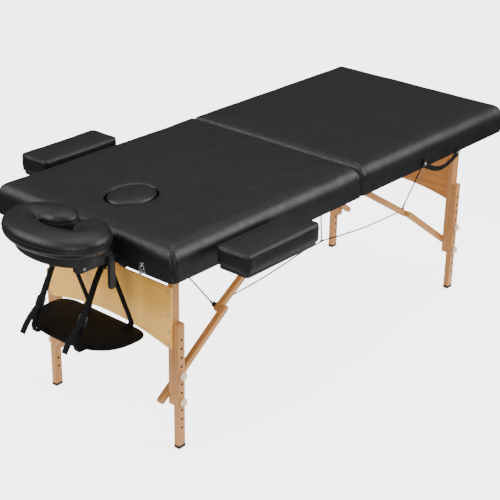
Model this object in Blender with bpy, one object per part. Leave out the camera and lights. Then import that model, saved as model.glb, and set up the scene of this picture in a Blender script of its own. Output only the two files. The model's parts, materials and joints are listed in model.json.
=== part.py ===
"""Portable massage table: two hinged halves on four folding, height-adjustable legs.

X runs along the table (head end -X), Y across it, Z up, metres. The feet stand on z = 0.
"""
import math

import bmesh
import bpy
from mathutils import Vector

# Overall
HALF_L = 0.925
HALF_W = 0.400
Z_FRAME = 0.6660
Z_TOP = 0.7770
GAP = 0.0003
CRADLE_END = -1.1895
CENTRE_X = -(CRADLE_END + HALF_L) / 2

# Upholstered pad
SKIRT = 0.004
PAD_EDGE_R = 0.032
PAD_CORNER_R = 0.055
SEAM_CORNER_R = {-1: 0.030, 1: 0.010}
DECK_Z0 = 0.7122
DECK_Z1 = 0.7162
FACE_X = -0.695
FACE_A = 0.090
FACE_B = 0.072
FACE_GAP = 0.0035
FACE_LEDGE = 0.011

# Wooden frame under each half
RAIL = 0.020
INNER_RAIL_Y = (0.1950, 0.2200)
INNER_RAIL_Z0 = 0.6800
FRAME_Z1 = 0.7119

# Long hinge under the centre seam
HINGE_T = 0.0015
HINGE_Z1 = Z_FRAME - GAP
HINGE_Z0 = HINGE_Z1 - HINGE_T
HINGE_PIN_Z = HINGE_Z0 - 0.0020
HINGE_R = 0.0035
HINGE_HW = 0.390
HINGE_LEAF = 0.0235
KNUCKLES = 5

# Leg set
LEG_X = 0.790
LEG_D = 0.029
LEG_W = 0.022
LEG_Y = 0.2609
LEG_PIVOT_Z = 0.687
LEG_Z0 = 0.158
ROD_R = 0.004
EXT_Y = 0.2832
EXT_Z0 = 0.0120
EXT_Z1 = 0.452
HOLE_R = 0.004
HOLE_TOP = 0.3985
HOLE_PITCH = 0.032
HOLE_COUNT = 11
KNOB_ROWS = {"upper": 4, "lower": 7}
KNOB_R = 0.0135
KNOB_T = 0.015
FOOT_H = 0.0117
PANEL_T = 0.008
PANEL_Z = (0.366, 0.402, 0.578)

# Folding brace on each side of a leg set
STRUT_W = 0.020
STRUT_D = 0.022
UPPER_STRUT_Y = 0.2203
LOWER_STRUT_Y = 0.2406
STRUT_PIN_X = 0.040
STRUT_PIN_Z = 0.696
LEG_PIN_Z = 0.203
BRACE_SLACK = 0.0005
KNEE_TAIL = 0.016
LEG_TAIL = 0.058

# Steel cables
CABLE_R = 0.0015
CABLE_Y = 0.2120
CABLE_NODE = (0.036, 0.432)
CABLE_ANCHOR_X = 0.772

# Armrests
ARM_X = {-1: -0.612, 1: -0.505}
ARM_L = 0.345
ARM_Y = (0.436, 0.566)
ARM_Z = (0.6998, 0.762)
ARM_BOARD_Z = (0.6875, 0.6995)
ARM_ROD_X = 0.085
POST_R = 0.006
POST_CLEAR = 0.0003
ARM_ROD_END = 0.315

# Face cradle
CRADLE_SEC = 0.095
CRADLE_NEAR_PAD = -0.9321
CRADLE_X = (CRADLE_END + CRADLE_NEAR_PAD) / 2
CRADLE_Y = -0.050
CRADLE_A = (CRADLE_NEAR_PAD - CRADLE_END - CRADLE_SEC) / 2
CRADLE_B = 0.150
CRADLE_TIPS = (-4, 334)
CRADLE_Z = (0.7218, 0.8000)
PLATE_Z = (0.7095, 0.7215)
BRACKET_Z = (0.6840, 0.7092)
POSTS_Y = (-0.150, 0.040)
POST_Z = 0.6965
CRADLE_AXIS_X = -1.085
POST_END_X = -0.835
BRACKET_HW = 0.125
BRACKET_ARM = 0.028
BRACKET_CUT = 0.010
BRACKET_BAR_X = (-0.972, -0.945)
LEVER_X = -0.962
LEVER_T = 0.012
LEVER_Z = (0.5980, 0.7050)
LEVER_PIN_Z = 0.7000

# Arm shelf and the straps that carry it
SHELF_Z = (0.4223, 0.4283)
SHELF_X = (-1.082, -0.925, -0.862)
SHELF_HW = 0.198
SHELF_FLAT = 0.115
SHELF_POWER = 2.6
STRAP_W = 0.025
STRAP_T = 0.0018
STRAP_BEND_Z = 0.433

# Latch at the head end
LATCH_Y = -0.274
LATCH_GAP = 0.0012
LATCH_HW = 0.011
LATCH_PIN_Z = 0.698

# Carry handle on the near side of the foot half
HANDLE_ENDS = ((0.366, 0.692), (0.604, 0.674))
HANDLE_SAG = 0.046
HANDLE_T = 0.006
HANDLE_W = (0.0092, 0.013)


def material(name, rgb, rough, metal=0.0):
    mat = bpy.data.materials.new(name)
    mat.use_nodes = True
    node = mat.node_tree.nodes["Principled BSDF"]
    node.inputs["Base Color"].default_value = (*rgb, 1.0)
    node.inputs["Roughness"].default_value = rough
    node.inputs["Metallic"].default_value = metal
    mat.diffuse_color = (*rgb, 1.0)
    return mat


def finish(name, bm, mat, origin=(0.0, 0.0, 0.0), smooth=False):
    """Turn a bmesh in table coordinates into an object whose origin is the given point."""
    bmesh.ops.recalc_face_normals(bm, faces=bm.faces)
    bmesh.ops.translate(bm, vec=(-origin[0], -origin[1], -origin[2]), verts=bm.verts)
    mesh = bpy.data.meshes.new(name)
    bm.to_mesh(mesh)
    bm.free()
    obj = bpy.data.objects.new(name, mesh)
    obj.location = (origin[0] + CENTRE_X, origin[1], origin[2])
    bpy.context.scene.collection.objects.link(obj)
    if mat is not None:
        mesh.materials.append(MATS[mat])
    if smooth:
        for poly in mesh.polygons:
            poly.use_smooth = True
        mesh.set_sharp_from_angle(angle=math.radians(40))
    return obj


def loft(bm, loops):
    """Skin a chain of equal-length point loops and cap both ends."""
    rings = []
    for loop in loops:
        rings.append([bm.verts.new(p) for p in loop])
    count = len(rings[0])
    for low, high in zip(rings, rings[1:]):
        for i in range(count):
            j = (i + 1) % count
            bm.faces.new((low[i], low[j], high[j], high[i]))
    bm.faces.new(rings[0][::-1])
    bm.faces.new(rings[-1])
    return bm


def prism(bm, points, axis, low, high):
    """Extrude a 2-D outline along X, Y or Z between two heights."""
    order = {"X": (2, 0, 1), "Y": (0, 2, 1), "Z": (0, 1, 2)}[axis]

    def spot(p, h):
        vec = (p[0], p[1], h)
        return tuple(vec[k] for k in order)

    return loft(bm, [[spot(p, low) for p in points], [spot(p, high) for p in points]])


def box(bm, xs, ys, zs):
    points = [(xs[0], ys[0]), (xs[1], ys[0]), (xs[1], ys[1]), (xs[0], ys[1])]
    return prism(bm, points, "Z", zs[0], zs[1])


def circle(cx, cy, r, count, start=0.0):
    return [(cx + r * math.cos(start + 2 * math.pi * i / count),
             cy + r * math.sin(start + 2 * math.pi * i / count)) for i in range(count)]


def tube(bm, points, r, count=6):
    """Round tube through a list of 3-D points, with a mitred ring at each bend."""
    pts = [Vector(p) for p in points]
    loops = []
    side = None
    for i, p in enumerate(pts):
        ahead = (pts[min(i + 1, len(pts) - 1)] - pts[max(i - 1, 0)]).normalized()
        if side is None:
            helper = Vector((0, 0, 1)) if abs(ahead.z) < 0.9 else Vector((1, 0, 0))
            side = ahead.cross(helper).normalized()
        side = (side - ahead * side.dot(ahead)).normalized()
        up = ahead.cross(side)
        loops.append([p + side * (r * math.cos(2 * math.pi * k / count))
                      + up * (r * math.sin(2 * math.pi * k / count)) for k in range(count)])
    return loft(bm, loops)


def bar(bm, a, b, before, after, depth, ys):
    """Flat bar in the XZ plane from a to b with round ends carried past both pins."""
    ux, uz = b[0] - a[0], b[1] - a[1]
    length = math.hypot(ux, uz)
    ux, uz = ux / length, uz / length
    start = (a[0] - ux * before, a[1] - uz * before)
    end = (b[0] + ux * after, b[1] + uz * after)
    turn = math.atan2(uz, ux)
    points = []
    for centre, sweep in ((end, -90), (start, 90)):
        inset = depth / 2 if centre is end else -depth / 2
        cx, cz = centre[0] - ux * inset, centre[1] - uz * inset
        for step in range(5):
            ang = turn + math.radians(sweep + 45 * step)
            points.append((cx + depth / 2 * math.cos(ang), cz + depth / 2 * math.sin(ang)))
    return prism(bm, points, "Y", ys[0], ys[1])


def cutter(name, bm):
    obj = finish(name, bm, None)
    obj.hide_render = True
    obj.display_type = "WIRE"
    return obj


def boolean(obj, tool, operation="DIFFERENCE"):
    mod = obj.modifiers.new(tool.name, "BOOLEAN")
    mod.operation = operation
    mod.solver = "EXACT"
    mod.object = tool


def rect_loop(x0, x1, hw, z, radii, inset=0.0, steps=5):
    """Plan outline with its own corner radius at the x0 end and at the x1 end."""
    corners = ((x1, -hw, radii[1], -90), (x1, hw, radii[1], 0), (x0, hw, radii[0], 90),
               (x0, -hw, radii[0], 180))
    out = []
    for cx, cy, r, first in corners:
        sx = 1 if cx == x1 else -1
        sy = 1 if cy > 0 else -1
        rr = max(r - inset, 0.0005)
        px = cx - sx * (inset + rr)
        py = cy - sy * (inset + rr)
        for k in range(steps):
            ang = math.radians(first + 90 * k / (steps - 1))
            out.append((px + rr * math.cos(ang), py + rr * math.sin(ang), z))
    return out


def oval(cx, a, b, z, count=24):
    return [(cx + a * math.cos(2 * math.pi * i / count), b * math.sin(2 * math.pi * i / count), z)
            for i in range(count)]


def span(sx, near, far):
    return tuple(sorted((sx * near, sx * far)))


def mirror(sy, low, high):
    return tuple(sorted((sy * low, sy * high)))


# Tables used by name: half sign, side sign
HALVES = {"head": -1, "foot": 1}
SIDES = {"near": -1, "far": 1}


def pad(half, sx):
    xs = span(sx, GAP / 2, HALF_L)
    outer, seam = PAD_CORNER_R, SEAM_CORNER_R[sx]
    radii = (outer, seam) if sx < 0 else (seam, outer)
    loops = []
    for k in range(5):
        ang = math.radians(90 * k / 4)
        drop = PAD_EDGE_R * (1 - math.cos(ang))
        inset = PAD_EDGE_R * (1 - math.sin(ang))
        loops.append(rect_loop(*xs, HALF_W, Z_TOP - drop, radii, inset))
    z0 = Z_FRAME + 0.0005
    inner = span(sx, GAP / 2 + SKIRT, HALF_L - SKIRT)
    inner_radii = tuple(max(r - SKIRT, 0.006) for r in radii)
    loops.append(rect_loop(*xs, HALF_W, z0, radii))
    loops.append(rect_loop(*inner, HALF_W - SKIRT, z0, inner_radii))
    loops.append(rect_loop(*inner, HALF_W - SKIRT, DECK_Z1 + GAP, inner_radii))
    return finish(half + "_pad", loft(bmesh.new(), loops), "cover", smooth=True)


def deck(half, sx):
    inner = span(sx, GAP / 2 + SKIRT + GAP, HALF_L - SKIRT - GAP)
    radii = (PAD_CORNER_R, SEAM_CORNER_R[sx]) if sx < 0 else (SEAM_CORNER_R[sx], PAD_CORNER_R)
    radii = tuple(max(r - SKIRT - GAP, 0.006) for r in radii)
    hw = HALF_W - SKIRT - GAP
    loops = [rect_loop(*inner, hw, z, radii) for z in (DECK_Z0, DECK_Z1)]
    return finish(half + "_deck", loft(bmesh.new(), loops), "plywood")


def frame(half, sx):
    """Glued rail frame: outer rails, two inner rails and the bays between them."""
    inner = span(sx, GAP / 2 + SKIRT + GAP, HALF_L - SKIRT - GAP)
    radii = (PAD_CORNER_R, SEAM_CORNER_R[sx]) if sx < 0 else (SEAM_CORNER_R[sx], PAD_CORNER_R)
    radii = tuple(max(r - SKIRT - GAP, 0.006) for r in radii)
    hw = HALF_W - SKIRT - GAP
    loops = [rect_loop(*inner, hw, z, radii) for z in (Z_FRAME, FRAME_Z1)]
    obj = finish(half + "_frame", loft(bmesh.new(), loops), "wood")
    xs = (inner[0] + RAIL, inner[1] - RAIL)
    bays = bmesh.new()
    over = FRAME_Z1 + 0.01
    box(bays, xs, (INNER_RAIL_Y[1], hw - RAIL), (INNER_RAIL_Z0 - 0.001, over))
    box(bays, xs, (-hw + RAIL, -INNER_RAIL_Y[1]), (INNER_RAIL_Z0 - 0.001, over))
    box(bays, xs, (-INNER_RAIL_Y[0], INNER_RAIL_Y[0]), (INNER_RAIL_Z0 - 0.001, over))
    boolean(obj, cutter(half + "_bays_cut", bays))
    under = bmesh.new()
    box(under, xs, (-hw + RAIL, hw - RAIL), (Z_FRAME - 0.01, INNER_RAIL_Z0))
    boolean(obj, cutter(half + "_under_cut", under))
    return obj


def leg_rod(half, sx):
    end = LEG_Y + LEG_W
    bm = prism(bmesh.new(), circle(sx * LEG_X, LEG_PIVOT_Z, ROD_R, 12), "Y", -end, end)
    return finish(half + "_leg_rod", bm, "steel", smooth=True)


def rod_cut(half, sx):
    bm = prism(bmesh.new(), circle(sx * LEG_X, LEG_PIVOT_Z, ROD_R + GAP, 12), "Y", -0.3, 0.3)
    return cutter(half + "_rod_cut", bm)


def upper_leg(name, sx, sy):
    half_d = LEG_D / 2
    points = [(sx * LEG_X - half_d, LEG_Z0), (sx * LEG_X + half_d, LEG_Z0)]
    for k in range(7):
        ang = math.radians(180 * k / 6)
        points.append((sx * LEG_X + half_d * math.cos(ang), LEG_PIVOT_Z + half_d * math.sin(ang)))
    bm = prism(bmesh.new(), points, "Y", *mirror(sy, LEG_Y, LEG_Y + LEG_W))
    return finish(name, bm, "wood", (sx * LEG_X, 0.0, LEG_PIVOT_Z))


def end_panel(half, sx):
    """Arched plywood panel screwed across the outer faces of one pair of legs."""
    low, crown, high = PANEL_Z
    hw = LEG_Y + LEG_W
    points = [(-hw, high), (-hw, low)]
    flat = LEG_Y
    for k in range(13):
        t = -1 + 2 * k / 12
        points.append((t * flat, low + (crown - low) * (1 - t * t)))
    points += [(hw, low), (hw, high)]
    near = LEG_X + LEG_D / 2 + GAP
    bm = prism(bmesh.new(), points, "X", *span(sx, near, near + PANEL_T))
    return finish(half + "_end_panel", bm, "plywood", (sx * LEG_X, 0.0, LEG_PIVOT_Z))


def extension(name, sx, sy):
    bm = bmesh.new()
    xs = (sx * LEG_X - LEG_D / 2, sx * LEG_X + LEG_D / 2)
    box(bm, xs, mirror(sy, EXT_Y, EXT_Y + LEG_W), (EXT_Z0, EXT_Z1))
    obj = finish(name, bm, "wood", (sx * LEG_X, sy * (EXT_Y + LEG_W / 2), EXT_Z1))
    holes = bmesh.new()
    for k in range(HOLE_COUNT):
        z = HOLE_TOP - k * HOLE_PITCH
        prism(holes, circle(sx * LEG_X, z, HOLE_R, 8), "Y", *mirror(sy, EXT_Y - 0.01, EXT_Y + 0.04))
    boolean(obj, cutter(name + "_holes_cut", holes))
    return obj


def foot_cap(name, sx, sy):
    bm = bmesh.new()
    y0, y1 = mirror(sy, EXT_Y, EXT_Y + LEG_W + 0.0012)
    x0, x1 = sx * LEG_X - LEG_D / 2 - 0.0012, sx * LEG_X + LEG_D / 2 + 0.0012
    loops = []
    for inset, z in ((0.003, 0.0), (0.0, 0.003), (0.0, FOOT_H)):
        loops.append([(x0 + inset, y0 + inset, z), (x1 - inset, y0 + inset, z),
                      (x1 - inset, y1 - inset, z), (x0 + inset, y1 - inset, z)])
    return finish(name, loft(bm, loops), "rubber")


def knob(name, sx, sy, row):
    """Fluted hand knob on the outer face of the extension bar."""
    z = HOLE_TOP - row * HOLE_PITCH
    y0 = EXT_Y + LEG_W + GAP
    loops = []
    for dy, scale in ((0.0, 0.72), (0.004, 1.0), (0.011, 1.0), (KNOB_T, 0.72)):
        loop = []
        for k in range(16):
            r = KNOB_R * scale * (1.0 if k % 2 == 0 else 0.88)
            ang = 2 * math.pi * k / 16
            loop.append((sx * LEG_X + r * math.cos(ang), sy * (y0 + dy), z + r * math.sin(ang)))
        loops.append(loop)
    origin = (sx * LEG_X, sy * y0, z)
    return finish(name, loft(bmesh.new(), loops), "knob", origin, smooth=True)


def brace_points(sx):
    """Frame pin, knee and leg pin of the brace, in the XZ plane.

    The two lengths close the brace with the leg down, and with the leg flat and the upper
    strut level.
    """
    ax, az = sx * STRUT_PIN_X, STRUT_PIN_Z
    px, pz = sx * LEG_X, LEG_PIN_Z
    span_len = math.hypot(px - ax, pz - az)
    total = span_len + BRACE_SLACK
    folded = LEG_X - (LEG_PIVOT_Z - LEG_PIN_Z) - STRUT_PIN_X
    drop = STRUT_PIN_Z - LEG_PIVOT_Z
    upper = (total ** 2 - folded ** 2 - drop ** 2) / (2 * (total - folded))
    lower = total - upper
    along = (span_len ** 2 + upper ** 2 - lower ** 2) / (2 * span_len)
    rise = math.sqrt(upper ** 2 - along ** 2)
    ux, uz = (px - ax) / span_len, (pz - az) / span_len
    knee = (ax + ux * along - sx * uz * rise, az + uz * along + sx * ux * rise)
    return (ax, az), knee, (px, pz)


def upper_strut(name, sx, sy):
    pin, knee, _ = brace_points(sx)
    ys = mirror(sy, UPPER_STRUT_Y, UPPER_STRUT_Y + STRUT_W)
    bm = bar(bmesh.new(), pin, knee, STRUT_D / 2, KNEE_TAIL, STRUT_D, ys)
    return finish(name, bm, "wood", (pin[0], 0.0, pin[1]))


def lower_strut(name, sx, sy):
    _, knee, low = brace_points(sx)
    ys = mirror(sy, LOWER_STRUT_Y, LOWER_STRUT_Y + STRUT_W)
    bm = bar(bmesh.new(), knee, low, KNEE_TAIL, LEG_TAIL, STRUT_D, ys)
    return finish(name, bm, "wood", (low[0], 0.0, low[1]))


def corner_cable(name, sx, sy):
    """Cable from the frame's inner rail down to the brace knee."""
    knee = brace_points(sx)[1]
    y = sy * CABLE_Y
    points = [(sx * CABLE_ANCHOR_X, y, INNER_RAIL_Z0 - 0.0016), (knee[0] + sx * 0.010, y, knee[1] + 0.012)]
    return finish(name, tube(bmesh.new(), points, CABLE_R), "cable", smooth=True)


def side_cable(side, sy):
    """Cable from knee to knee, held up by two hangers below the centre rails."""
    y = sy * CABLE_Y
    nx, nz = CABLE_NODE
    head = brace_points(-1)[1]
    foot = brace_points(1)[1]
    points = [(head[0] + 0.030, y, head[1] + 0.020), (-nx, y, nz), (nx, y, nz),
              (foot[0] - 0.030, y, foot[1] + 0.020)]
    obj = finish(side + "_side_cable", tube(bmesh.new(), points, CABLE_R), "cable", smooth=True)
    for tag, sx in HALVES.items():
        hanger = tube(bmesh.new(), [(sx * nx, y, nz), (sx * nx * 0.35, y, HINGE_Z0 - GAP)], CABLE_R * 0.97)
        boolean(obj, cutter(side + "_" + tag + "_hanger", hanger), "UNION")
    return obj


def hinge_leaf(half, sx):
    """Leaf of the long centre hinge with its share of the knuckles."""
    leaf = box(bmesh.new(), span(sx, 0.0008, HINGE_LEAF), (-HINGE_HW, HINGE_HW), (HINGE_Z0, HINGE_Z1))
    obj = finish(half + "_hinge_leaf", leaf, "steel", (0.0, 0.0, HINGE_PIN_Z))
    pitch = 2 * HINGE_HW / KNUCKLES
    knuckles = bmesh.new()
    for k in range(KNUCKLES):
        if (k % 2 == 0) == (sx < 0):
            low = -HINGE_HW + k * pitch + 0.0005
            points = circle(0.0, HINGE_PIN_Z, HINGE_R, 8, math.pi / 8)
            prism(knuckles, points, "Y", low, low + pitch - 0.001)
    boolean(obj, cutter(half + "_knuckles", knuckles), "UNION")
    slots = bmesh.new()
    for k in range(KNUCKLES):
        if (k % 2 == 0) != (sx < 0):
            low = -HINGE_HW + k * pitch
            box(slots, (-0.0042, 0.0042), (low - 0.0003, low + pitch + 0.0003),
                (HINGE_Z0 - 0.01, HINGE_Z1 + 0.01))
    boolean(obj, cutter(half + "_knuckle_slots", slots))
    return obj


def face_plug():
    """Padded oval plug that rests on the deck ledge inside the face hole."""
    base = DECK_Z1 + GAP
    loops = []
    rows = ((0.985, base), (1.0, base + 0.006), (1.0, Z_TOP - 0.010), (0.97, Z_TOP - 0.002),
            (0.88, Z_TOP + 0.003), (0.55, Z_TOP + 0.005))
    for scale, z in rows:
        loops.append(oval(FACE_X, FACE_A * scale, FACE_B * scale, z))
    return finish("face_hole_plug", loft(bmesh.new(), loops), "cover", smooth=True)


def armrest(side, sy):
    cx = ARM_X[sy]
    xs = (cx - ARM_L / 2, cx + ARM_L / 2)
    y0, y1 = ARM_Y
    mid = (y0 + y1) / 2
    loops = []
    rows = ((0.006, ARM_Z[0]), (0.0, ARM_Z[0] + 0.006), (0.0, ARM_Z[1] - 0.012),
            (0.0035, ARM_Z[1] - 0.0035), (0.012, ARM_Z[1]))
    for inset, z in rows:
        loop = rect_loop(*xs, (y1 - y0) / 2, z, (0.016, 0.016), inset, 4)
        loops.append([(p[0], p[1] + sy * mid, p[2]) for p in loop])
    finish(side + "_armrest_pad", loft(bmesh.new(), loops), "cover", smooth=True)
    loops = []
    for z in ARM_BOARD_Z:
        loop = rect_loop(xs[0] + 0.008, xs[1] - 0.008, (y1 - y0) / 2 - 0.008, z, (0.010, 0.010), 0.0, 3)
        loops.append([(p[0], p[1] + sy * mid, p[2]) for p in loop])
    board = finish(side + "_armrest_board", loft(bmesh.new(), loops), "black_board")
    rods = bmesh.new()
    zc = sum(ARM_BOARD_Z) / 2
    for dx in (-ARM_ROD_X, ARM_ROD_X):
        prism(rods, circle(cx + dx, zc, POST_R - 0.0005, 10, 0.1), "Y", *mirror(sy, ARM_ROD_END, y0 + 0.030))
    boolean(board, cutter(side + "_armrest_rods", rods), "UNION")


def arm_holes():
    bm = bmesh.new()
    zc = sum(ARM_BOARD_Z) / 2
    for sy in (-1, 1):
        for dx in (-ARM_ROD_X, ARM_ROD_X):
            points = circle(ARM_X[sy] + dx, zc, POST_R + POST_CLEAR, 10, 0.1)
            prism(bm, points, "Y", *mirror(sy, HALF_W - 0.030, HALF_W + 0.005))
    return bm


def cradle_path():
    """C-shaped centre line on an ellipse, open towards the table, as (x, y, width factor)."""
    ends = ((0, 0.30), (2, 0.62), (5, 0.86), (10, 0.98))
    first, last = CRADLE_TIPS
    angles = [(first + step, w) for step, w in ends]
    count = 22
    for k in range(count + 1):
        angles.append((first + 17 + (last - first - 34) * k / count, 1.0))
    angles += [(last - step, w) for step, w in reversed(ends)]
    path = []
    for degrees, w in angles:
        ang = math.radians(degrees)
        path.append((CRADLE_X + CRADLE_A * math.cos(ang), CRADLE_Y + CRADLE_B * math.sin(ang), w))
    return path


def sweep(path, section):
    """Carry a (side, up) section with a width factor along a plan path."""
    loops = []
    for i, (x, y, w) in enumerate(path):
        a = path[max(i - 1, 0)]
        b = path[min(i + 1, len(path) - 1)]
        tx, ty = b[0] - a[0], b[1] - a[1]
        length = math.hypot(tx, ty)
        nx, ny = -ty / length, tx / length
        loops.append([(x + nx * s * w, y + ny * s * w, z) for s, z in section])
    return loops


def cradle_cushion():
    zc = sum(CRADLE_Z) / 2
    hz = (CRADLE_Z[1] - CRADLE_Z[0]) / 2
    section = []
    for k in range(14):
        ang = 2 * math.pi * k / 14
        c, s = math.cos(ang), math.sin(ang)
        section.append((CRADLE_SEC / 2 * math.copysign(abs(c) ** 0.55, c),
                        zc + hz * math.copysign(abs(s) ** 0.7, s)))
    bm = loft(bmesh.new(), sweep(cradle_path(), section))
    return finish("cradle_cushion", bm, "cover", (CRADLE_AXIS_X, 0.0, BRACKET_Z[1]), smooth=True)


def cradle_plate():
    path = [p for p in cradle_path() if p[2] > 0.9]
    section = [(-0.026, PLATE_Z[0]), (0.026, PLATE_Z[0]), (0.026, PLATE_Z[1]), (-0.026, PLATE_Z[1])]
    bm = loft(bmesh.new(), sweep(path, section))
    return finish("cradle_platform", bm, "black_board", (CRADLE_AXIS_X, 0.0, BRACKET_Z[1]))


def cradle_bracket():
    """U-shaped carrier with two posts that slide into the head rail."""
    hw = BRACKET_HW
    arm = hw - BRACKET_ARM
    x_bar, x_in = BRACKET_BAR_X
    tip = CRADLE_AXIS_X + 0.001
    cut = BRACKET_CUT
    points = [(x_in, -hw), (x_in, hw), (tip + cut, hw), (tip, hw - cut), (tip, arm), (x_bar, arm),
              (x_bar, -arm), (tip, -arm), (tip, -hw + cut), (tip + cut, -hw)]
    points = [(x, y + CRADLE_Y) for x, y in points]
    obj = finish("cradle_bracket", prism(bmesh.new(), points, "Z", *BRACKET_Z), "black_board")
    posts = bmesh.new()
    for y in POSTS_Y:
        prism(posts, circle(y, POST_Z, POST_R - 0.0005, 10, 0.1), "X", x_in - 0.012, POST_END_X)
    boolean(obj, cutter("cradle_posts", posts), "UNION")
    return obj


def post_holes():
    bm = bmesh.new()
    for y in POSTS_Y:
        prism(bm, circle(y, POST_Z, POST_R + POST_CLEAR, 10, 0.1), "X", -HALF_L - 0.005, -HALF_L + 0.035)
    return bm


def cradle_lever():
    """Cam lever that hangs beside the near arm of the bracket, with its lower corners cut off."""
    low, high = LEVER_Z
    x0, x1 = LEVER_X - LEVER_T, LEVER_X + LEVER_T
    cut = LEVER_T / 2
    points = [(x0, low + cut), (x0 + cut, low), (x1 - cut, low), (x1, low + cut), (x1, high), (x0, high)]
    y = CRADLE_Y - BRACKET_HW - GAP
    bm = prism(bmesh.new(), points, "Y", y - LEVER_T, y)
    return finish("cradle_lever", bm, "black_plastic", (LEVER_X, y - LEVER_T / 2, LEVER_PIN_Z))


def arm_shelf():
    """Padded board with a straight rear edge, rounded rear corners and a bowed front."""
    front, widest, rear = SHELF_X
    half = []
    for start_y, reach_x, reach_y in ((SHELF_FLAT, rear - widest, SHELF_HW - SHELF_FLAT),
                                      (0.0, front - widest, SHELF_HW)):
        for k in range(9):
            ang = math.radians(90 * k / 8)
            along = math.cos(ang) if start_y else math.sin(ang)
            across = math.sin(ang) if start_y else math.cos(ang)
            half.append((widest + reach_x * max(along, 0.0) ** (2 / SHELF_POWER),
                         start_y + reach_y * max(across, 0.0) ** (2 / SHELF_POWER)))
    half.pop(9)
    other = [(x, -y) for x, y in reversed(half[:-1])]
    points = [(x, y + CRADLE_Y) for x, y in half + other]
    return finish("arm_shelf", prism(bmesh.new(), points, "Z", *SHELF_Z), "cover")


def shelf_strap(side, y):
    """One webbing loop: forward and down from the bracket, under the shelf and back up behind it."""
    top = BRACKET_Z[0] - GAP
    bottom = SHELF_Z[0] - GAP
    front, _, rear = SHELF_X
    inset = 2 * STRAP_T
    route = [(BRACKET_BAR_X[0] + inset, top), (front - 0.0055, STRAP_BEND_Z), (front + 0.0020, bottom),
             (rear + 0.0014, bottom), (rear + 0.0045, STRAP_BEND_Z), (BRACKET_BAR_X[1] - inset, top)]
    inner, outer = [], []
    for i, (x, z) in enumerate(route):
        a = route[max(i - 1, 0)]
        b = route[min(i + 1, len(route) - 1)]
        tx, tz = b[0] - a[0], b[1] - a[1]
        length = math.hypot(tx, tz)
        nx, nz = tz / length, -tx / length
        if i in (0, len(route) - 1):
            nx, nz = (1.0 if i else -1.0), 0.0
        inner.append((x, z))
        outer.append((x + nx * STRAP_T, z + nz * STRAP_T))
    bm = prism(bmesh.new(), inner + outer[::-1], "Y", y - STRAP_W / 2, y + STRAP_W / 2)
    return finish(side + "_shelf_strap", bm, "webbing")


def latch():
    """Chrome latch hook that hangs at the lower edge of the head end."""
    x1 = -HALF_L - LATCH_GAP
    points = [(x1, 0.7000), (x1 - 0.004, 0.7000), (x1 - 0.009, 0.6900), (x1 - 0.009, 0.6660),
              (x1 - 0.003, 0.6600), (x1 - 0.0005, 0.6640), (x1 - 0.0045, 0.6690), (x1 - 0.0045, 0.6880),
              (x1, 0.6920)]
    bm = prism(bmesh.new(), points, "Y", LATCH_Y - LATCH_HW, LATCH_Y + LATCH_HW)
    return finish("end_latch", bm, "chrome", (x1 - 0.002, LATCH_Y, LATCH_PIN_Z))


def carry_handle():
    """Webbing handle that sags between its two end plates, wider at the plates."""
    (x0, z0), (x1, z1) = HANDLE_ENDS
    grip, end = HANDLE_W
    count = 12
    left, right = [], []
    for i in range(count + 1):
        t = i / count
        drop = 4 * HANDLE_SAG * t * (1 - t)
        slope = (z1 - z0) - 4 * HANDLE_SAG * (1 - 2 * t)
        length = math.hypot(x1 - x0, slope)
        half_w = end if min(i, count - i) < 2 else grip
        nx, nz = -slope / length * half_w, (x1 - x0) / length * half_w
        x, z = x0 + (x1 - x0) * t, z0 + (z1 - z0) * t - drop
        left.append((x + nx, z + nz))
        right.append((x - nx, z - nz))
    y1 = -HALF_W - GAP
    bm = prism(bmesh.new(), left + right[::-1], "Y", y1 - HANDLE_T, y1)
    return finish("carry_handle", bm, "webbing")


def build():
    for half, sx in HALVES.items():
        pad_obj = pad(half, sx)
        deck_obj = deck(half, sx)
        frame_obj = frame(half, sx)
        leg_rod(half, sx)
        bore = rod_cut(half, sx)
        boolean(frame_obj, bore)
        if half == "head":
            well = loft(bmesh.new(), [oval(FACE_X, FACE_A + FACE_GAP, FACE_B + FACE_GAP, z)
                                      for z in (0.70, 0.80)])
            boolean(pad_obj, cutter("face_well_cut", well))
            eye = loft(bmesh.new(), [oval(FACE_X, FACE_A - FACE_LEDGE, FACE_B - FACE_LEDGE, z)
                                     for z in (0.70, 0.73)])
            boolean(deck_obj, cutter("deck_eye_cut", eye))
            arm_cut = cutter("arm_holes_cut", arm_holes())
            post_cut = cutter("post_holes_cut", post_holes())
            for target in (pad_obj, frame_obj):
                boolean(target, arm_cut)
                boolean(target, post_cut)
        hinge_leaf(half, sx)
        end_panel(half, sx)
        for side, sy in SIDES.items():
            tag = half + "_" + side
            boolean(upper_leg(tag + "_leg", sx, sy), bore)
            extension(tag + "_extension", sx, sy)
            foot_cap(tag + "_foot", sx, sy)
            for row, index in KNOB_ROWS.items():
                knob(tag + "_" + row + "_knob", sx, sy, index)
            upper_strut(tag + "_upper_strut", sx, sy)
            lower_strut(tag + "_lower_strut", sx, sy)
            corner_cable(tag + "_corner_cable", sx, sy)
    for (side, sy), strap_y in zip(SIDES.items(), POSTS_Y):
        side_cable(side, sy)
        armrest(side, sy)
        shelf_strap(side, strap_y)
    face_plug()
    cradle_cushion()
    cradle_plate()
    cradle_bracket()
    cradle_lever()
    arm_shelf()
    carry_handle()
    latch()


for old in list(bpy.data.objects):
    bpy.data.objects.remove(old, do_unlink=True)

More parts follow.
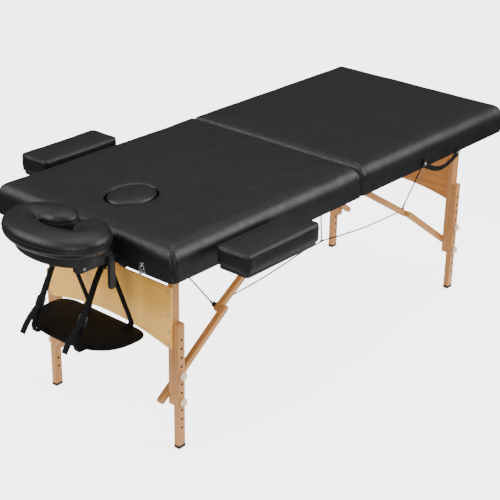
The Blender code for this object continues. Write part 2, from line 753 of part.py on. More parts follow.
MATS = {
    "cover": material("cover", (0.012, 0.012, 0.013), 0.42),
    "black_board": material("black_board", (0.015, 0.015, 0.016), 0.55),
    "black_plastic": material("black_plastic", (0.014, 0.014, 0.015), 0.45),
    "webbing": material("webbing", (0.016, 0.016, 0.017), 0.85),
    "wood": material("wood", (0.62, 0.40, 0.26), 0.50),
    "plywood": material("plywood", (0.80, 0.58, 0.30), 0.50),
    "knob": material("knob", (0.80, 0.68, 0.50), 0.45),
    "rubber": material("rubber", (0.012, 0.012, 0.012), 0.80),
    "cable": material("cable", (0.03, 0.03, 0.032), 0.45),
    "steel": material("steel", (0.55, 0.56, 0.58), 0.35, 1.0),
    "chrome": material("chrome", (0.80, 0.80, 0.82), 0.12, 1.0),
}
build()
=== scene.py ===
"""Looks of the portable massage table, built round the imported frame. Metres, +Z up, head end at -X."""
import json
import math

import bmesh
import bpy
import numpy as np
from mathutils import Matrix, Vector
from mathutils.bvhtree import BVHTree

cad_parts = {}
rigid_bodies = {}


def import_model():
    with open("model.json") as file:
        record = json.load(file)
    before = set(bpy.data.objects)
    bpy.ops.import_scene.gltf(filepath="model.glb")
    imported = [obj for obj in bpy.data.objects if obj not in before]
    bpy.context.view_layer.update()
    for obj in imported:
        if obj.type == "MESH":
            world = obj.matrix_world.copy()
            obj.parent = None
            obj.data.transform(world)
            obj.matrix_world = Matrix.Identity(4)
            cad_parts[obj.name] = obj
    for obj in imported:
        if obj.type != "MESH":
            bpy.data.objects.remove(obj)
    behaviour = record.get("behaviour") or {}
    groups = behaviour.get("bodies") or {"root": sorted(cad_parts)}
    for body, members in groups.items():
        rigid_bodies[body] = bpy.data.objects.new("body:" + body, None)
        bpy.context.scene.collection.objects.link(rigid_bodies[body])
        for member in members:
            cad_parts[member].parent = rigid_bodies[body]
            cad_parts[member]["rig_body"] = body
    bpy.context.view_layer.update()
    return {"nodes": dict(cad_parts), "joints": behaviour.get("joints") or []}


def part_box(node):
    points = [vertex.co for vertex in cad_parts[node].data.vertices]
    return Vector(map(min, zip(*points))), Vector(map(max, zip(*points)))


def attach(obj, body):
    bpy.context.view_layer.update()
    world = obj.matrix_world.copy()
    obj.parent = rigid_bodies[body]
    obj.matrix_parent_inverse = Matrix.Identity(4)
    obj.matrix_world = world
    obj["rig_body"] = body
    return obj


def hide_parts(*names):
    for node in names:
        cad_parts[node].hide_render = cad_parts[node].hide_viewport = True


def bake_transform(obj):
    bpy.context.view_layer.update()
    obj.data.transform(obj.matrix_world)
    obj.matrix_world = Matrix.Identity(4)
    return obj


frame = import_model()
NODES = frame["nodes"]
JOINTS = {joint["name"]: joint for joint in frame["joints"]}
SIDES = {"near": -1, "far": 1}
HALVES = {"head": -1, "foot": 1}

# Places read from the frame
HEAD_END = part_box("head_pad")[0].x
FOLD_X = (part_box("head_pad")[1].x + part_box("foot_pad")[0].x) / 2
DECK_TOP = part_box("head_deck")[1].z
SKIRT_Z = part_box("head_pad")[0].z
TABLE_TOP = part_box("foot_pad")[1].z

# Table pads: rolled edges, corner radii, and how the cover folds under the frame
PAD_EDGE = 0.056
FOLD_EDGE = 0.026
PAD_CORNER = 0.026
FOLD_CORNER = 0.010
ROLL_POWER = 0.82
PAD_START_DROP = 0.003
SKIRT_LIP = 0.0034
SKIRT_RETURN = 0.043
PIPING_R = 0.0013

# Face hole: the plug's box, and the slightly larger hole round it
WELL_GAP = 0.0035
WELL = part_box("face_hole_plug")
WELL_X, WELL_Y = (WELL[0].x + WELL[1].x) / 2, (WELL[0].y + WELL[1].y) / 2
PLUG_A, PLUG_B = (WELL[1].x - WELL[0].x) / 2, (WELL[1].y - WELL[0].y) / 2
WELL_A, WELL_B = PLUG_A + WELL_GAP, PLUG_B + WELL_GAP

# Face cushion, measured from its packed box: angles of its tips, height of its seam
CUSHION_CROWN = 0.016
CUSHION_HALF = 0.056
CUSHION_TIPS = (2.0, 346.0)
CUSHION_SEAM = 0.062
CUSHION_REACH = 0.012
CUSHION_LIFT = 0.026

# Armrests and arm shelf
ARMREST_CORNERS = (0.017, 0.017)
SHELF_WIDEST = 0.063
SHELF_FLAT = 0.115
SHELF_POWER = 2 / 2.6

# Cloth: voxel size, most that a point may move, and how tightly filled
CLOTH_FRAMES = 20
PAD_CLOTH = (0.0075, 0.0065, 0.8)
PLUG_CLOTH = (0.0045, 0.0030, 0.7)
ARMREST_CLOTH = (0.0045, 0.0035, 0.75)
CUSHION_CLOTH = (0.0045, 0.0070, 0.85)
SHELF_CLOTH = (0.0032, 0.0022, 0.2)

# Woodwork
WOOD_EDGE = 0.0012
HOLE_R = 0.0044
PALE_BEECH = (0.60, 0.300, 0.115)
DEEP_BEECH = (0.44, 0.195, 0.065)
DARK_BEECH = (0.30, 0.120, 0.024)

# Cables: radius, distance from the middle, and the point where hanger and run meet
CABLE_R = 0.0023
CABLE_Y = 0.212
KNOT_X = 0.036
KNOT_Z = 0.432

# Webbing and latch
STRAP_THICK = 0.0018
STRAP_TOP_X = FOLD_X - 0.968
STRAP_FRONT_Z = 0.447
STRAP_REAR_Z = 0.436
BUCKLE_PLACE = 0.72
HANDLE_ENDS = (0.692, 0.674)
HANDLE_SAG = 0.046
HANDLE_WIDE = 0.0255
HANDLE_NARROW = 0.0070
HOOK_HALF = 0.0045

# Studio
CAMERA_SPOT = Vector((-3.2548, -2.777, 2.365))
CAMERA_TURN = math.radians(-49.73)
CAMERA_RISE = math.radians(24.81)
CAMERA_ROLL = math.radians(1.06)
CAMERA_LENS = 94.38
BACKDROP_GLOW = 4.5
FLOOR_FADE = (0.95, 1.9)
FLOOR_GLOW = 3.4
LIGHT_TARGET = (0.1, 0.0, 0.6)
SOFTBOXES = (("key", (2.4, -3.6, 3.0), (4.2, 3.4), 330.0),
             ("head_fill", (-3.2, 1.9, 3.0), (3.8, 2.8), 190.0),
             ("front_fill", (-4.0, -3.0, 1.5), (3.6, 3.0), 125.0),
             ("overhead", (0.2, 0.0, 4.2), (3.4, 3.4), 85.0))


# ---------------------------------------------------------------- materials

class Look:
    """One procedural material in frame coordinates, on a Principled BSDF."""

    def __init__(self, name, color, **sockets):
        self.mat = bpy.data.materials.new(name)
        self.mat.use_nodes = True
        self.tree = self.mat.node_tree
        self.bsdf = self.tree.nodes["Principled BSDF"]
        self.bsdf.inputs["Base Color"].default_value = (*color, 1.0)
        for socket, value in sockets.items():
            self.bsdf.inputs[socket.replace("_", " ")].default_value = value
        coords = self.tree.nodes.new("ShaderNodeTexCoord")
        self.place = coords.outputs["Object"]
        self.uv = coords.outputs["UV"]
        self.normal = None

    def wire(self, source, target):
        self.tree.links.new(source, target)

    def grain_space(self, pitch, turn=0.0):
        """Coordinates turned about Y and divided by a pitch in metres on each axis."""
        node = self.tree.nodes.new("ShaderNodeMapping")
        node.vector_type = "TEXTURE"
        node.inputs["Rotation"].default_value = (0.0, turn, 0.0)
        node.inputs["Scale"].default_value = pitch
        self.wire(self.place, node.inputs["Vector"])
        return node.outputs["Vector"]

    def noise(self, vector, scale=1.0, detail=3.0, rough=0.5, distort=0.0):
        node = self.tree.nodes.new("ShaderNodeTexNoise")
        node.inputs["Scale"].default_value = scale
        node.inputs["Detail"].default_value = detail
        node.inputs["Roughness"].default_value = rough
        node.inputs["Distortion"].default_value = distort
        self.wire(vector, node.inputs["Vector"])
        return node.outputs["Fac"]

    def cells(self, vector, scale):
        node = self.tree.nodes.new("ShaderNodeTexVoronoi")
        node.feature = "SMOOTH_F1"
        node.inputs["Scale"].default_value = scale
        self.wire(vector, node.inputs["Vector"])
        return node.outputs["Distance"]

    def bands(self, vector, direction, scale):
        node = self.tree.nodes.new("ShaderNodeTexWave")
        node.bands_direction = direction
        node.inputs["Scale"].default_value = scale
        self.wire(vector, node.inputs["Vector"])
        return node.outputs["Fac"]

    def span(self, value, low, high, start=0.0, end=1.0):
        node = self.tree.nodes.new("ShaderNodeMapRange")
        for socket, number in (("From Min", low), ("From Max", high), ("To Min", start), ("To Max", end)):
            node.inputs[socket].default_value = number
        self.wire(value, node.inputs["Value"])
        return node.outputs["Result"]

    def math(self, operation, first, second):
        node = self.tree.nodes.new("ShaderNodeMath")
        node.operation = operation
        for socket, value in zip(node.inputs, (first, second)):
            if isinstance(value, float):
                socket.default_value = value
            else:
                self.wire(value, socket)
        return node.outputs["Value"]

    def ramp(self, value, stops):
        node = self.tree.nodes.new("ShaderNodeValToRGB")
        while len(node.color_ramp.elements) < len(stops):
            node.color_ramp.elements.new(0.5)
        for element, (position, color) in zip(node.color_ramp.elements, stops):
            element.position = position
            element.color = (*color, 1.0)
        self.wire(value, node.inputs["Fac"])
        return node.outputs["Color"]

    def tint(self, factor, base, color):
        """Base colour mixed towards a colour by a factor."""
        node = self.tree.nodes.new("ShaderNodeMix")
        node.data_type = "RGBA"
        self.wire(factor, node.inputs[0])
        self.wire(base, node.inputs[6])
        node.inputs[7].default_value = (*color, 1.0)
        return node.outputs[2]

    def paint(self, color):
        self.wire(color, self.bsdf.inputs["Base Color"])

    def roughen(self, value):
        self.wire(value, self.bsdf.inputs["Roughness"])

    def bump(self, height, depth, strength=1.0):
        node = self.tree.nodes.new("ShaderNodeBump")
        node.inputs["Distance"].default_value = depth
        node.inputs["Strength"].default_value = strength
        self.wire(height, node.inputs["Height"])
        if self.normal:
            self.wire(self.normal, node.inputs["Normal"])
        self.normal = node.outputs["Normal"]
        self.wire(self.normal, self.bsdf.inputs["Normal"])


def vinyl(name, rough=(0.40, 0.50), gloss=0.36):
    """Black upholstery vinyl: pebble grain, faint creases and uneven gloss."""
    look = Look(name, (0.0045, 0.0045, 0.0049), Specular_IOR_Level=gloss)
    cloudy = look.noise(look.place, 9.0, 4.0, 0.55)
    look.paint(look.ramp(cloudy, ((0.30, (0.0030, 0.0030, 0.0033)), (0.75, (0.0048, 0.0048, 0.0052)))))
    look.roughen(look.span(look.noise(look.place, 38.0, 3.0), 0.3, 0.7, *rough))
    look.bump(look.noise(look.place, 7.0, 2.0), 0.0035, 0.35)
    look.bump(look.cells(look.place, 620.0), 0.00020, 0.16)
    look.bump(look.noise(look.place, 1500.0, 2.0), 0.00006, 0.1)
    return look.mat


def beech(name, axis, turn, pale, deep):
    """Varnished beech: long soft grain along one axis, with short dark ray flecks."""
    look = Look(name, pale, Roughness=0.42, Specular_IOR_Level=0.30, Coat_Weight=0.10, Coat_Roughness=0.22)
    coarse, fine = [0.011] * 3, [0.0007] * 3
    coarse[axis], fine[axis] = 0.34, 0.0042
    figure = look.noise(look.grain_space(coarse, turn), 1.0, 5.0, 0.6, 0.4)
    wood = look.ramp(figure, ((0.28, deep), (0.50, tuple((a + b) / 2 for a, b in zip(pale, deep))),
                              (0.72, pale)))
    drift = look.span(look.noise(look.place, 2.6, 2.0), 0.35, 0.70, 0.0, 0.30)
    wood = look.tint(drift, wood, (0.60, 0.30, 0.085))
    flecks = look.span(look.noise(look.grain_space(fine, turn), 1.0, 2.0), 0.60, 0.72, 0.0, 0.42)
    look.paint(look.tint(flecks, wood, (0.30, 0.15, 0.08)))
    look.roughen(look.span(figure, 0.3, 0.7, 0.46, 0.34))
    look.bump(flecks, 0.00010, 0.5)
    look.bump(figure, 0.00030, 0.35)
    return look.mat


def plywood(name, pale, deep, shadow_streaks=()):
    """Varnished birch face with grain across the table, and soft darker painted shadow streaks down it."""
    look = Look(name, pale, Roughness=0.40, Specular_IOR_Level=0.30, Coat_Weight=0.10, Coat_Roughness=0.2)
    figure = look.noise(look.grain_space((0.010, 0.42, 0.010)), 1.0, 5.0, 0.62, 0.9)
    wood = look.ramp(figure, ((0.30, deep), (0.68, pale)))
    pores = look.noise(look.grain_space((0.0008, 0.012, 0.0008)), 1.0, 2.0)
    pores = look.span(pores, 0.58, 0.72, 0.0, 0.30)
    wood = look.tint(pores, wood, (0.42, 0.22, 0.08))
    split = look.tree.nodes.new("ShaderNodeSeparateXYZ")
    look.wire(look.place, split.inputs["Vector"])
    # Each streak is painted shade: a soft darker band down the panel at one Y, standing in for a shadow cast
    # on it.
    for centre in shadow_streaks:
        away = look.math("ABSOLUTE", look.math("SUBTRACT", split.outputs["Y"], centre), 0.0)
        wood = look.tint(look.span(away, 0.004, 0.034, 0.42, 0.0), wood, (0.40, 0.22, 0.10))
    look.paint(wood)
    look.roughen(look.span(figure, 0.3, 0.7, 0.42, 0.32))
    look.bump(pores, 0.00008, 0.5)
    look.bump(figure, 0.00020, 0.3)
    return look.mat


def knob_look():
    """Pale cast resin with a soft mottle."""
    look = Look("knob_resin", (0.80, 0.66, 0.46), Roughness=0.38, Subsurface_Weight=0.05,
                Subsurface_Scale=0.002)
    mottle = look.noise(look.place, 120.0, 4.0, 0.6)
    look.paint(look.ramp(mottle, ((0.3, (0.70, 0.53, 0.34)), (0.7, (0.84, 0.70, 0.50)))))
    look.roughen(look.span(mottle, 0.3, 0.7, 0.46, 0.32))
    look.bump(look.noise(look.place, 900.0, 2.0), 0.00006, 0.5)
    return look.mat


def moulded(name, color, rough, pebble, depth):
    """Dark moulded or coated surface with a pebble bump and slightly rubbed gloss."""
    look = Look(name, color, Specular_IOR_Level=0.45)
    wear = look.noise(look.place, 60.0, 4.0, 0.6)
    lighter = tuple(min(channel * 1.9, 1.0) for channel in color)
    look.paint(look.ramp(wear, ((0.35, color), (0.8, lighter))))
    look.roughen(look.span(wear, 0.3, 0.7, rough + 0.06, rough - 0.05))
    look.bump(look.noise(look.place, pebble, 3.0), depth, 0.6)
    return look.mat


def metal(name, color, rough, pitch):
    """Metal with fine brushed lines along the long side of the pitch."""
    look = Look(name, color, Metallic=1.0)
    lines = look.noise(look.grain_space(pitch), 1.0, 3.0)
    darker = tuple(channel * 0.72 for channel in color)
    look.paint(look.ramp(lines, ((0.3, darker), (0.7, color))))
    look.roughen(look.span(lines, 0.3, 0.7, rough * 1.35, rough * 0.8))
    look.bump(lines, 0.00004, 0.4)
    return look.mat


def webbing_look():
    """Black polyester webbing: plain weave by UV, one unit of U across the strap."""
    look = Look("webbing_weave", (0.003, 0.003, 0.0033), Specular_IOR_Level=0.16,
                Sheen_Weight=0.02, Sheen_Roughness=0.45)
    weave = look.math("MULTIPLY", look.bands(look.uv, "X", 2.6), look.bands(look.uv, "Y", 3.4))
    look.paint(look.ramp(weave, ((0.05, (0.0012, 0.0012, 0.0014)), (0.75, (0.0045, 0.0045, 0.0048)))))
    look.roughen(look.span(weave, 0.0, 1.0, 0.86, 0.62))
    look.bump(weave, 0.00035, 0.8)
    look.bump(look.noise(look.place, 2200.0, 2.0), 0.00010, 0.5)
    return look.mat


def cable_look():
    """Dark plastic-coated steel rope whose strands show through as a fine pattern."""
    look = Look("cable_coat", (0.004, 0.004, 0.0045), Specular_IOR_Level=0.2)
    strand = look.bands(look.grain_space((0.0016, 0.0016, 0.0016), 0.6), "DIAGONAL", 1.0)
    look.paint(look.ramp(strand, ((0.1, (0.002, 0.002, 0.0023)), (0.9, (0.006, 0.006, 0.0065)))))
    look.roughen(look.span(strand, 0.0, 1.0, 0.50, 0.32))
    look.bump(strand, 0.00018, 0.7)
    return look.mat


STRUT_TURNS = {}
PADDED = {}
MATS = {
    "cover": vinyl("vinyl_black"),
    "shelf": vinyl("vinyl_shelf", (0.52, 0.60), 0.07),
    "leg": beech("beech_upright", 2, 0.0, PALE_BEECH, DEEP_BEECH),
    "shin": beech("beech_extension", 2, 0.0, (0.56, 0.270, 0.098), (0.40, 0.172, 0.056)),
    # Near-black painted shade for the walls inside the leg holes, standing in for the shadow in them.
    "hole_shade": moulded("painted_hole_shade", (0.030, 0.014, 0.007), 0.8, 500.0, 0.0002),
    "rail": beech("beech_rail", 0, 0.0, PALE_BEECH, DEEP_BEECH),
    # The Y positions given to each end panel are painted shadow streaks, not wood figure.
    "head_panel": plywood("plywood_head", (1.0, 0.58, 0.13), (0.90, 0.44, 0.080), (-0.089, 0.092)),
    "foot_panel": plywood("plywood_foot", (0.60, 0.25, 0.050), (0.45, 0.165, 0.028), (-0.12, 0.07)),
    "deck": plywood("plywood_deck", (0.66, 0.44, 0.22), (0.52, 0.32, 0.15)),
    "knob": knob_look(),
    "rubber": moulded("rubber_black", (0.006, 0.006, 0.006), 0.72, 700.0, 0.00020),
    "black_board": moulded("board_black", (0.005, 0.005, 0.0055), 0.50, 420.0, 0.00015),
    "black_plastic": moulded("plastic_black", (0.005, 0.005, 0.0055), 0.40, 900.0, 0.00008),
    "steel": metal("steel_zinc", (0.56, 0.57, 0.60), 0.34, (0.0006, 0.020, 0.0006)),
    "chrome": metal("chrome_plate", (0.82, 0.82, 0.84), 0.12, (0.004, 0.004, 0.004)),
    "cable": cable_look(),
    "webbing": webbing_look(),
}


# ---------------------------------------------------------------- mesh helpers

def body_of(node):
    return NODES[node]["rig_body"]


def smooth(mesh):
    for poly in mesh.polygons:
        poly.use_smooth = True


def repaint(mesh, mat):
    mesh.materials.clear()
    mesh.materials.append(MATS[mat])


def place_in_scene(name, data):
    obj = bpy.data.objects.new(name, data)
    bpy.context.scene.collection.objects.link(obj)
    return obj


def piece(name, bm, mat, body, replaces=(), sharp=35.0):
    """Turn a bmesh in frame coordinates into a shaded piece that rides on a body."""
    mesh = bpy.data.meshes.new(name)
    bm.to_mesh(mesh)
    bm.free()
    smooth(mesh)
    mesh.set_sharp_from_angle(angle=math.radians(sharp))
    mesh.materials.append(MATS[mat])
    obj = place_in_scene(name, mesh)
    if body:
        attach(obj, body)
    if replaces:
        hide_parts(*replaces)
    return obj


def loft(bm, loops):
    """Skin between loops of equal length, closed at both ends."""
    rings = [[bm.verts.new(point) for point in loop] for loop in loops]
    count = len(rings[0])
    for low, high in zip(rings, rings[1:]):
        for i in range(count):
            j = (i + 1) % count
            bm.faces.new((low[i], low[j], high[j], high[i]))
    bm.faces.new(rings[0][::-1])
    bm.faces.new(rings[-1])
    bmesh.ops.recalc_face_normals(bm, faces=bm.faces)
    return bm


def frame_along(ahead):
    """Two unit vectors at right angles to a direction and to each other."""
    helper = Vector((0, 0, 1)) if abs(ahead.z) < 0.9 else Vector((1, 0, 0))
    side = ahead.cross(helper).normalized()
    return side, ahead.cross(side).normalized()


def lathe(bm, profile, centre, axis, count=28, flutes=0, flute=0.0):
    """Turn a (radius, height) profile about an axis, with optional flutes in the radius."""
    axis = Vector(axis).normalized()
    side, up = frame_along(axis)
    loops = []
    for radius, height in profile:
        loop = []
        for k in range(count):
            ang = 2 * math.pi * k / count
            r = radius * (1 - flute * (0.5 - 0.5 * math.cos(flutes * ang)) if flutes else 1.0)
            loop.append(Vector(centre) + axis * height + side * r * math.cos(ang) + up * r * math.sin(ang))
        loops.append(loop)
    part = loft(bmesh.new(), loops)
    return merge(bm, part)


def merge(bm, part, matrix=None):
    """Add a small bmesh into a larger one and free it."""
    if matrix:
        bmesh.ops.transform(part, matrix=matrix, verts=part.verts)
    mesh = bpy.data.meshes.new("part")
    part.to_mesh(mesh)
    part.free()
    bm.from_mesh(mesh)
    bpy.data.meshes.remove(mesh)
    return bm


def block(size, bevel, segments=2):
    """Box with rounded edges, centred on the origin."""
    bm = bmesh.new()
    bmesh.ops.create_cube(bm, size=1.0, matrix=Matrix.Diagonal((*size, 1.0)))
    bmesh.ops.bevel(bm, geom=bm.edges[:] + bm.verts[:], offset=bevel, segments=segments, profile=0.5,
                    affect="EDGES")
    return bm


def turned(direction, across, centre):
    """Placement matrix whose X runs along a direction and whose Y runs along across."""
    x = Vector(direction).normalized()
    z = x.cross(Vector(across)).normalized()
    y = z.cross(x)
    matrix = Matrix((x, y, z)).transposed().to_4x4()
    matrix.translation = Vector(centre)
    return matrix


def curve_points(points, step):
    """Catmull-Rom curve through given points, resampled at about one step."""
    pts = [Vector(p) for p in points]
    out = []
    for i in range(len(pts) - 1):
        a, b, c, d = pts[max(i - 1, 0)], pts[i], pts[i + 1], pts[min(i + 2, len(pts) - 1)]
        count = max(2, int((c - b).length / step))
        for k in range(count):
            t = k / count
            out.append(0.5 * (2 * b + (c - a) * t + (2 * a - 5 * b + 4 * c - d) * t * t
                              + (3 * b - a - 3 * c + d) * t ** 3))
    out.append(pts[-1])
    return out


def tube(bm, points, radius, count=10):
    """Round tube along a path, closed at both ends."""
    pts = [Vector(p) for p in points]
    side = None
    loops = []
    for i, p in enumerate(pts):
        ahead = (pts[min(i + 1, len(pts) - 1)] - pts[max(i - 1, 0)]).normalized()
        if side is None:
            side = frame_along(ahead)[0]
        side = (side - ahead * side.dot(ahead)).normalized()
        up = ahead.cross(side)
        loops.append([p + (side * math.cos(2 * math.pi * k / count)
                           + up * math.sin(2 * math.pi * k / count)) * radius for k in range(count)])
    return merge(bm, loft(bmesh.new(), loops))


def closed_tube(bm, points, radius, count=8):
    """Round tube along a closed path."""
    pts = [Vector(p) for p in points]
    total = len(pts)
    rings = []
    for i, p in enumerate(pts):
        ahead = (pts[(i + 1) % total] - pts[i - 1]).normalized()
        side, up = frame_along(ahead)
        rings.append([bm.verts.new(p + (side * math.cos(2 * math.pi * k / count)
                                        + up * math.sin(2 * math.pi * k / count)) * radius)
                      for k in range(count)])
    for i, ring in enumerate(rings):
        other = rings[(i + 1) % total]
        for k in range(count):
            j = (k + 1) % count
            bm.faces.new((ring[k], ring[j], other[j], other[k]))
    bmesh.ops.recalc_face_normals(bm, faces=bm.faces)
    return bm


def ribbon(bm, points, widths, thick, across=None, face=None):
    """Woven strap along a path: rounded flat section, U across it and V along it.

    Its width runs along the vector across, or at right angles to the vector face.
    """
    uv = bm.loops.layers.uv.verify()
    pts = [Vector(p) for p in points]
    rows = []
    length = 0.0
    for i, p in enumerate(pts):
        ahead = (pts[min(i + 1, len(pts) - 1)] - pts[max(i - 1, 0)]).normalized()
        wide = Vector(across) if across else ahead.cross(Vector(face)).normalized()
        out = ahead.cross(wide).normalized()
        half = widths[min(i, len(widths) - 1)] / 2
        length += (p - pts[i - 1]).length if i else 0.0
        edge = thick * 0.45
        section = [(-half, 0.0), (-half + edge, thick / 2), (0.0, thick / 2), (half - edge, thick / 2),
                   (half, 0.0), (half - edge, -thick / 2), (0.0, -thick / 2), (-half + edge, -thick / 2)]
        row = [(bm.verts.new(p + wide * s + out * h), s / (2 * half) + 0.5, length / (2 * half))
               for s, h in section]
        rows.append(row)
    count = len(rows[0])
    for low, high in zip(rows, rows[1:]):
        for k in range(count):
            corners = (low[k], low[(k + 1) % count], high[(k + 1) % count], high[k])
            made = bm.faces.new([corner[0] for corner in corners])
            for loop, corner in zip(made.loops, corners):
                loop[uv].uv = corner[1:]
    for row in (rows[0][::-1], rows[-1]):
        made = bm.faces.new([corner[0] for corner in row])
        for loop, corner in zip(made.loops, row):
            loop[uv].uv = corner[1:]
    bmesh.ops.recalc_face_normals(bm, faces=bm.faces)
    return bm


def ease_edges(obj, width, segments, degrees):
    mod = obj.modifiers.new("edges", "BEVEL")
    mod.width = width
    mod.segments = segments
    mod.limit_method = "ANGLE"
    mod.angle_limit = math.radians(degrees)
    return mod


def soften(node, mat, bevel=WOOD_EDGE, segments=2):
    """Copy of a CAD solid with rounded edges, standing for the node."""
    bm = bmesh.new()
    bm.from_mesh(NODES[node].data)
    bmesh.ops.remove_doubles(bm, verts=bm.verts, dist=0.00001)
    bmesh.ops.dissolve_limit(bm, angle_limit=math.radians(0.5), verts=bm.verts, edges=bm.edges)
    obj = piece(node + "_finished", bm, mat, body_of(node), (node,), 50.0)
    if "custom_normal" in obj.data.attributes:
        obj.data.attributes.remove(obj.data.attributes["custom_normal"])
    ease_edges(obj, bevel, segments, 32).harden_normals = True


def fastener(bm, centre, axis, radius):
    """Pan-head screw with a socket in its crown."""
    profile = [(radius, 0.0), (radius, radius * 0.30), (radius * 0.86, radius * 0.50),
               (radius * 0.60, radius * 0.60), (radius * 0.42, radius * 0.60), (radius * 0.34, radius * 0.25)]
    return lathe(bm, profile, centre, axis, 18)


# ---------------------------------------------------------------- padded pieces

def outline(low, high, radii, inset, z, steps=8):
    """Rounded plan outline of a box. The radii are those of the low-x and high-x corners."""
    out = []
    for x, y, first, sx, sy in ((high[0], low[1], -90, 1, -1), (high[0], high[1], 0, 1, 1),
                                (low[0], high[1], 90, -1, 1), (low[0], low[1], 180, -1, -1)):
        r = max((radii[1] if sx > 0 else radii[0]) - inset, 0.001)
        for k in range(steps):
            ang = math.radians(first + 90 * k / (steps - 1))
            out.append((x - sx * (inset + r) + r * math.cos(ang),
                        y - sy * (inset + r) + r * math.sin(ang), z))
    return out


def rolled_block(low, high, radii, edge, bottom_edge=0.0, fold=None):
    """Closed block with a rolled top edge and, if asked, a rolled bottom edge."""
    loops = []
    if bottom_edge:
        for k in range(5):
            ang = math.radians(90 * k / 5)
            loops.append(outline(low, high, radii, bottom_edge * (1 - math.sin(ang)),
                                 low[2] + bottom_edge * (1 - math.cos(ang))))
    else:
        loops.append(outline(low, high, radii, 0.0, low[2]))
    for k in range(11):
        ang = math.radians(90 * k / 10)
        inset = edge * (1 - max(math.cos(ang), 0.0) ** ROLL_POWER)
        loop = outline(low, high, radii, inset, high[2] - edge * (1 - math.sin(ang) ** ROLL_POWER))
        if fold:
            loop = [(fold_edge(x, fold, inset, edge), y, z) for x, y, z in loop]
        loops.append(loop)
    return loft(bmesh.new(), loops)


def fold_edge(x, fold, inset, edge):
    """Give back part of the inset on the fold side, where the roll is tighter."""
    plane, way, tight = fold
    share = max(0.0, 1 - abs(x - plane - way * inset) / 0.02)
    return x - way * inset * (1 - tight / edge) * share


def oval(centre, a, b, z, count=48):
    return [(centre[0] + a * math.cos(2 * math.pi * k / count),
             centre[1] + b * math.sin(2 * math.pi * k / count), z) for k in range(count)]


def evaluated(obj):
    graph = bpy.context.evaluated_depsgraph_get()
    return bpy.data.meshes.new_from_object(obj.evaluated_get(graph))


def take_mesh(obj, mesh):
    obj.modifiers.clear()
    old = obj.data
    obj.data = mesh
    bpy.data.meshes.remove(old)


def coords(mesh):
    flat = np.zeros(len(mesh.vertices) * 3, np.float32)
    mesh.vertices.foreach_get("co", flat)
    return flat.reshape(-1, 3).astype(float)


def set_coords(mesh, points):
    mesh.vertices.foreach_set("co", points.astype(np.float32).ravel())
    mesh.update()


def normals(mesh):
    flat = np.zeros(len(mesh.vertices) * 3, np.float32)
    mesh.vertex_normals.foreach_get("vector", flat)
    return flat.reshape(-1, 3).astype(float)


def carve(obj, bm):
    """Cut a closed bmesh out of a piece."""
    tool = place_in_scene("tool", bpy.data.meshes.new("tool"))
    bm.to_mesh(tool.data)
    bm.free()
    mod = obj.modifiers.new("cut", "BOOLEAN")
    mod.solver = "EXACT"
    mod.object = tool
    take_mesh(obj, evaluated(obj))
    bpy.data.objects.remove(tool)


def remeshed(obj, voxel):
    mod = obj.modifiers.new("skin", "REMESH")
    mod.mode = "VOXEL"
    mod.voxel_size = voxel
    relax = obj.modifiers.new("relax", "SMOOTH")
    relax.factor = 0.5
    relax.iterations = 5
    take_mesh(obj, evaluated(obj))


def ready_cloth(obj, pinned):
    """Pin the points that rest on wood and put the cloth under inner pressure."""
    group = obj.vertex_groups.new(name="held")
    weights = pinned(coords(obj.data))
    group.add([int(i) for i in np.nonzero(weights > 0.5)[0]], 1.0, "REPLACE")
    mod = obj.modifiers.new("cloth", "CLOTH")
    mod.settings.quality = 4
    mod.settings.use_pressure = True
    mod.settings.uniform_pressure_force = 4.0
    mod.settings.effector_weights.gravity = 0.0
    mod.settings.vertex_group_mass = "held"
    mod.settings.bending_stiffness = 4.0
    mod.point_cache.frame_end = CLOTH_FRAMES


def padded_piece(name, bm, node, cloth, pinned, extra=None):
    """Queue one upholstered piece for the shared cloth run."""
    voxel, cap, fill = cloth
    obj = piece(name, bm, "cover", None)
    if extra:
        extra(obj)
    remeshed(obj, voxel)
    repaint(obj.data, "shelf" if node == "arm_shelf" else "cover")
    PADDED[node] = (obj, cap, pinned, fill)


def run_cloth():
    """One run for all padded pieces, each point's movement scaled to stay under its cap."""
    scene = bpy.context.scene
    rest = {node: coords(entry[0].data) for node, entry in PADDED.items()}
    moved = dict(rest)
    for obj, _, pinned, _ in PADDED.values():
        ready_cloth(obj, pinned)
    for number in range(1, CLOTH_FRAMES + 1):
        scene.frame_set(number)
    for node, (obj, cap, _, _) in PADDED.items():
        mesh = evaluated(obj)
        shift = coords(mesh) - rest[node]
        bpy.data.meshes.remove(mesh)
        reach = np.percentile(np.linalg.norm(shift, axis=1), 99)
        scale = min(1.0, cap / max(reach, 0.000001))
        moved[node] = rest[node] + shift * scale
        obj.modifiers.clear()
    scene.frame_set(1)
    for node, (obj, _, _, _) in PADDED.items():
        obj.vertex_groups.clear()
        points = moved[node]
        if node == "head_pad":
            points[:, 0] = np.minimum(points[:, 0], FOLD_X - 0.0003)
        if node == "foot_pad":
            points[:, 0] = np.maximum(points[:, 0], FOLD_X + 0.0003)
        set_coords(obj.data, points)
        mod = obj.modifiers.new("fine", "SUBSURF")
        mod.levels = 1
        mod.render_levels = 1
        take_mesh(obj, evaluated(obj))
        smooth(obj.data)


def pad_block(half):
    """Foam block of one half, carried a little below the skirt so that it can be trimmed later."""
    low, high = (list(corner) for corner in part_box(half + "_pad"))
    radii = (PAD_CORNER, FOLD_CORNER) if half == "head" else (FOLD_CORNER, PAD_CORNER)
    low[2] = SKIRT_Z - 0.016
    high[2] = TABLE_TOP - PAD_START_DROP
    plane, way = (high[0], -1) if half == "head" else (low[0], 1)
    return rolled_block(low, high, radii, PAD_EDGE, fold=(plane, way, FOLD_EDGE))


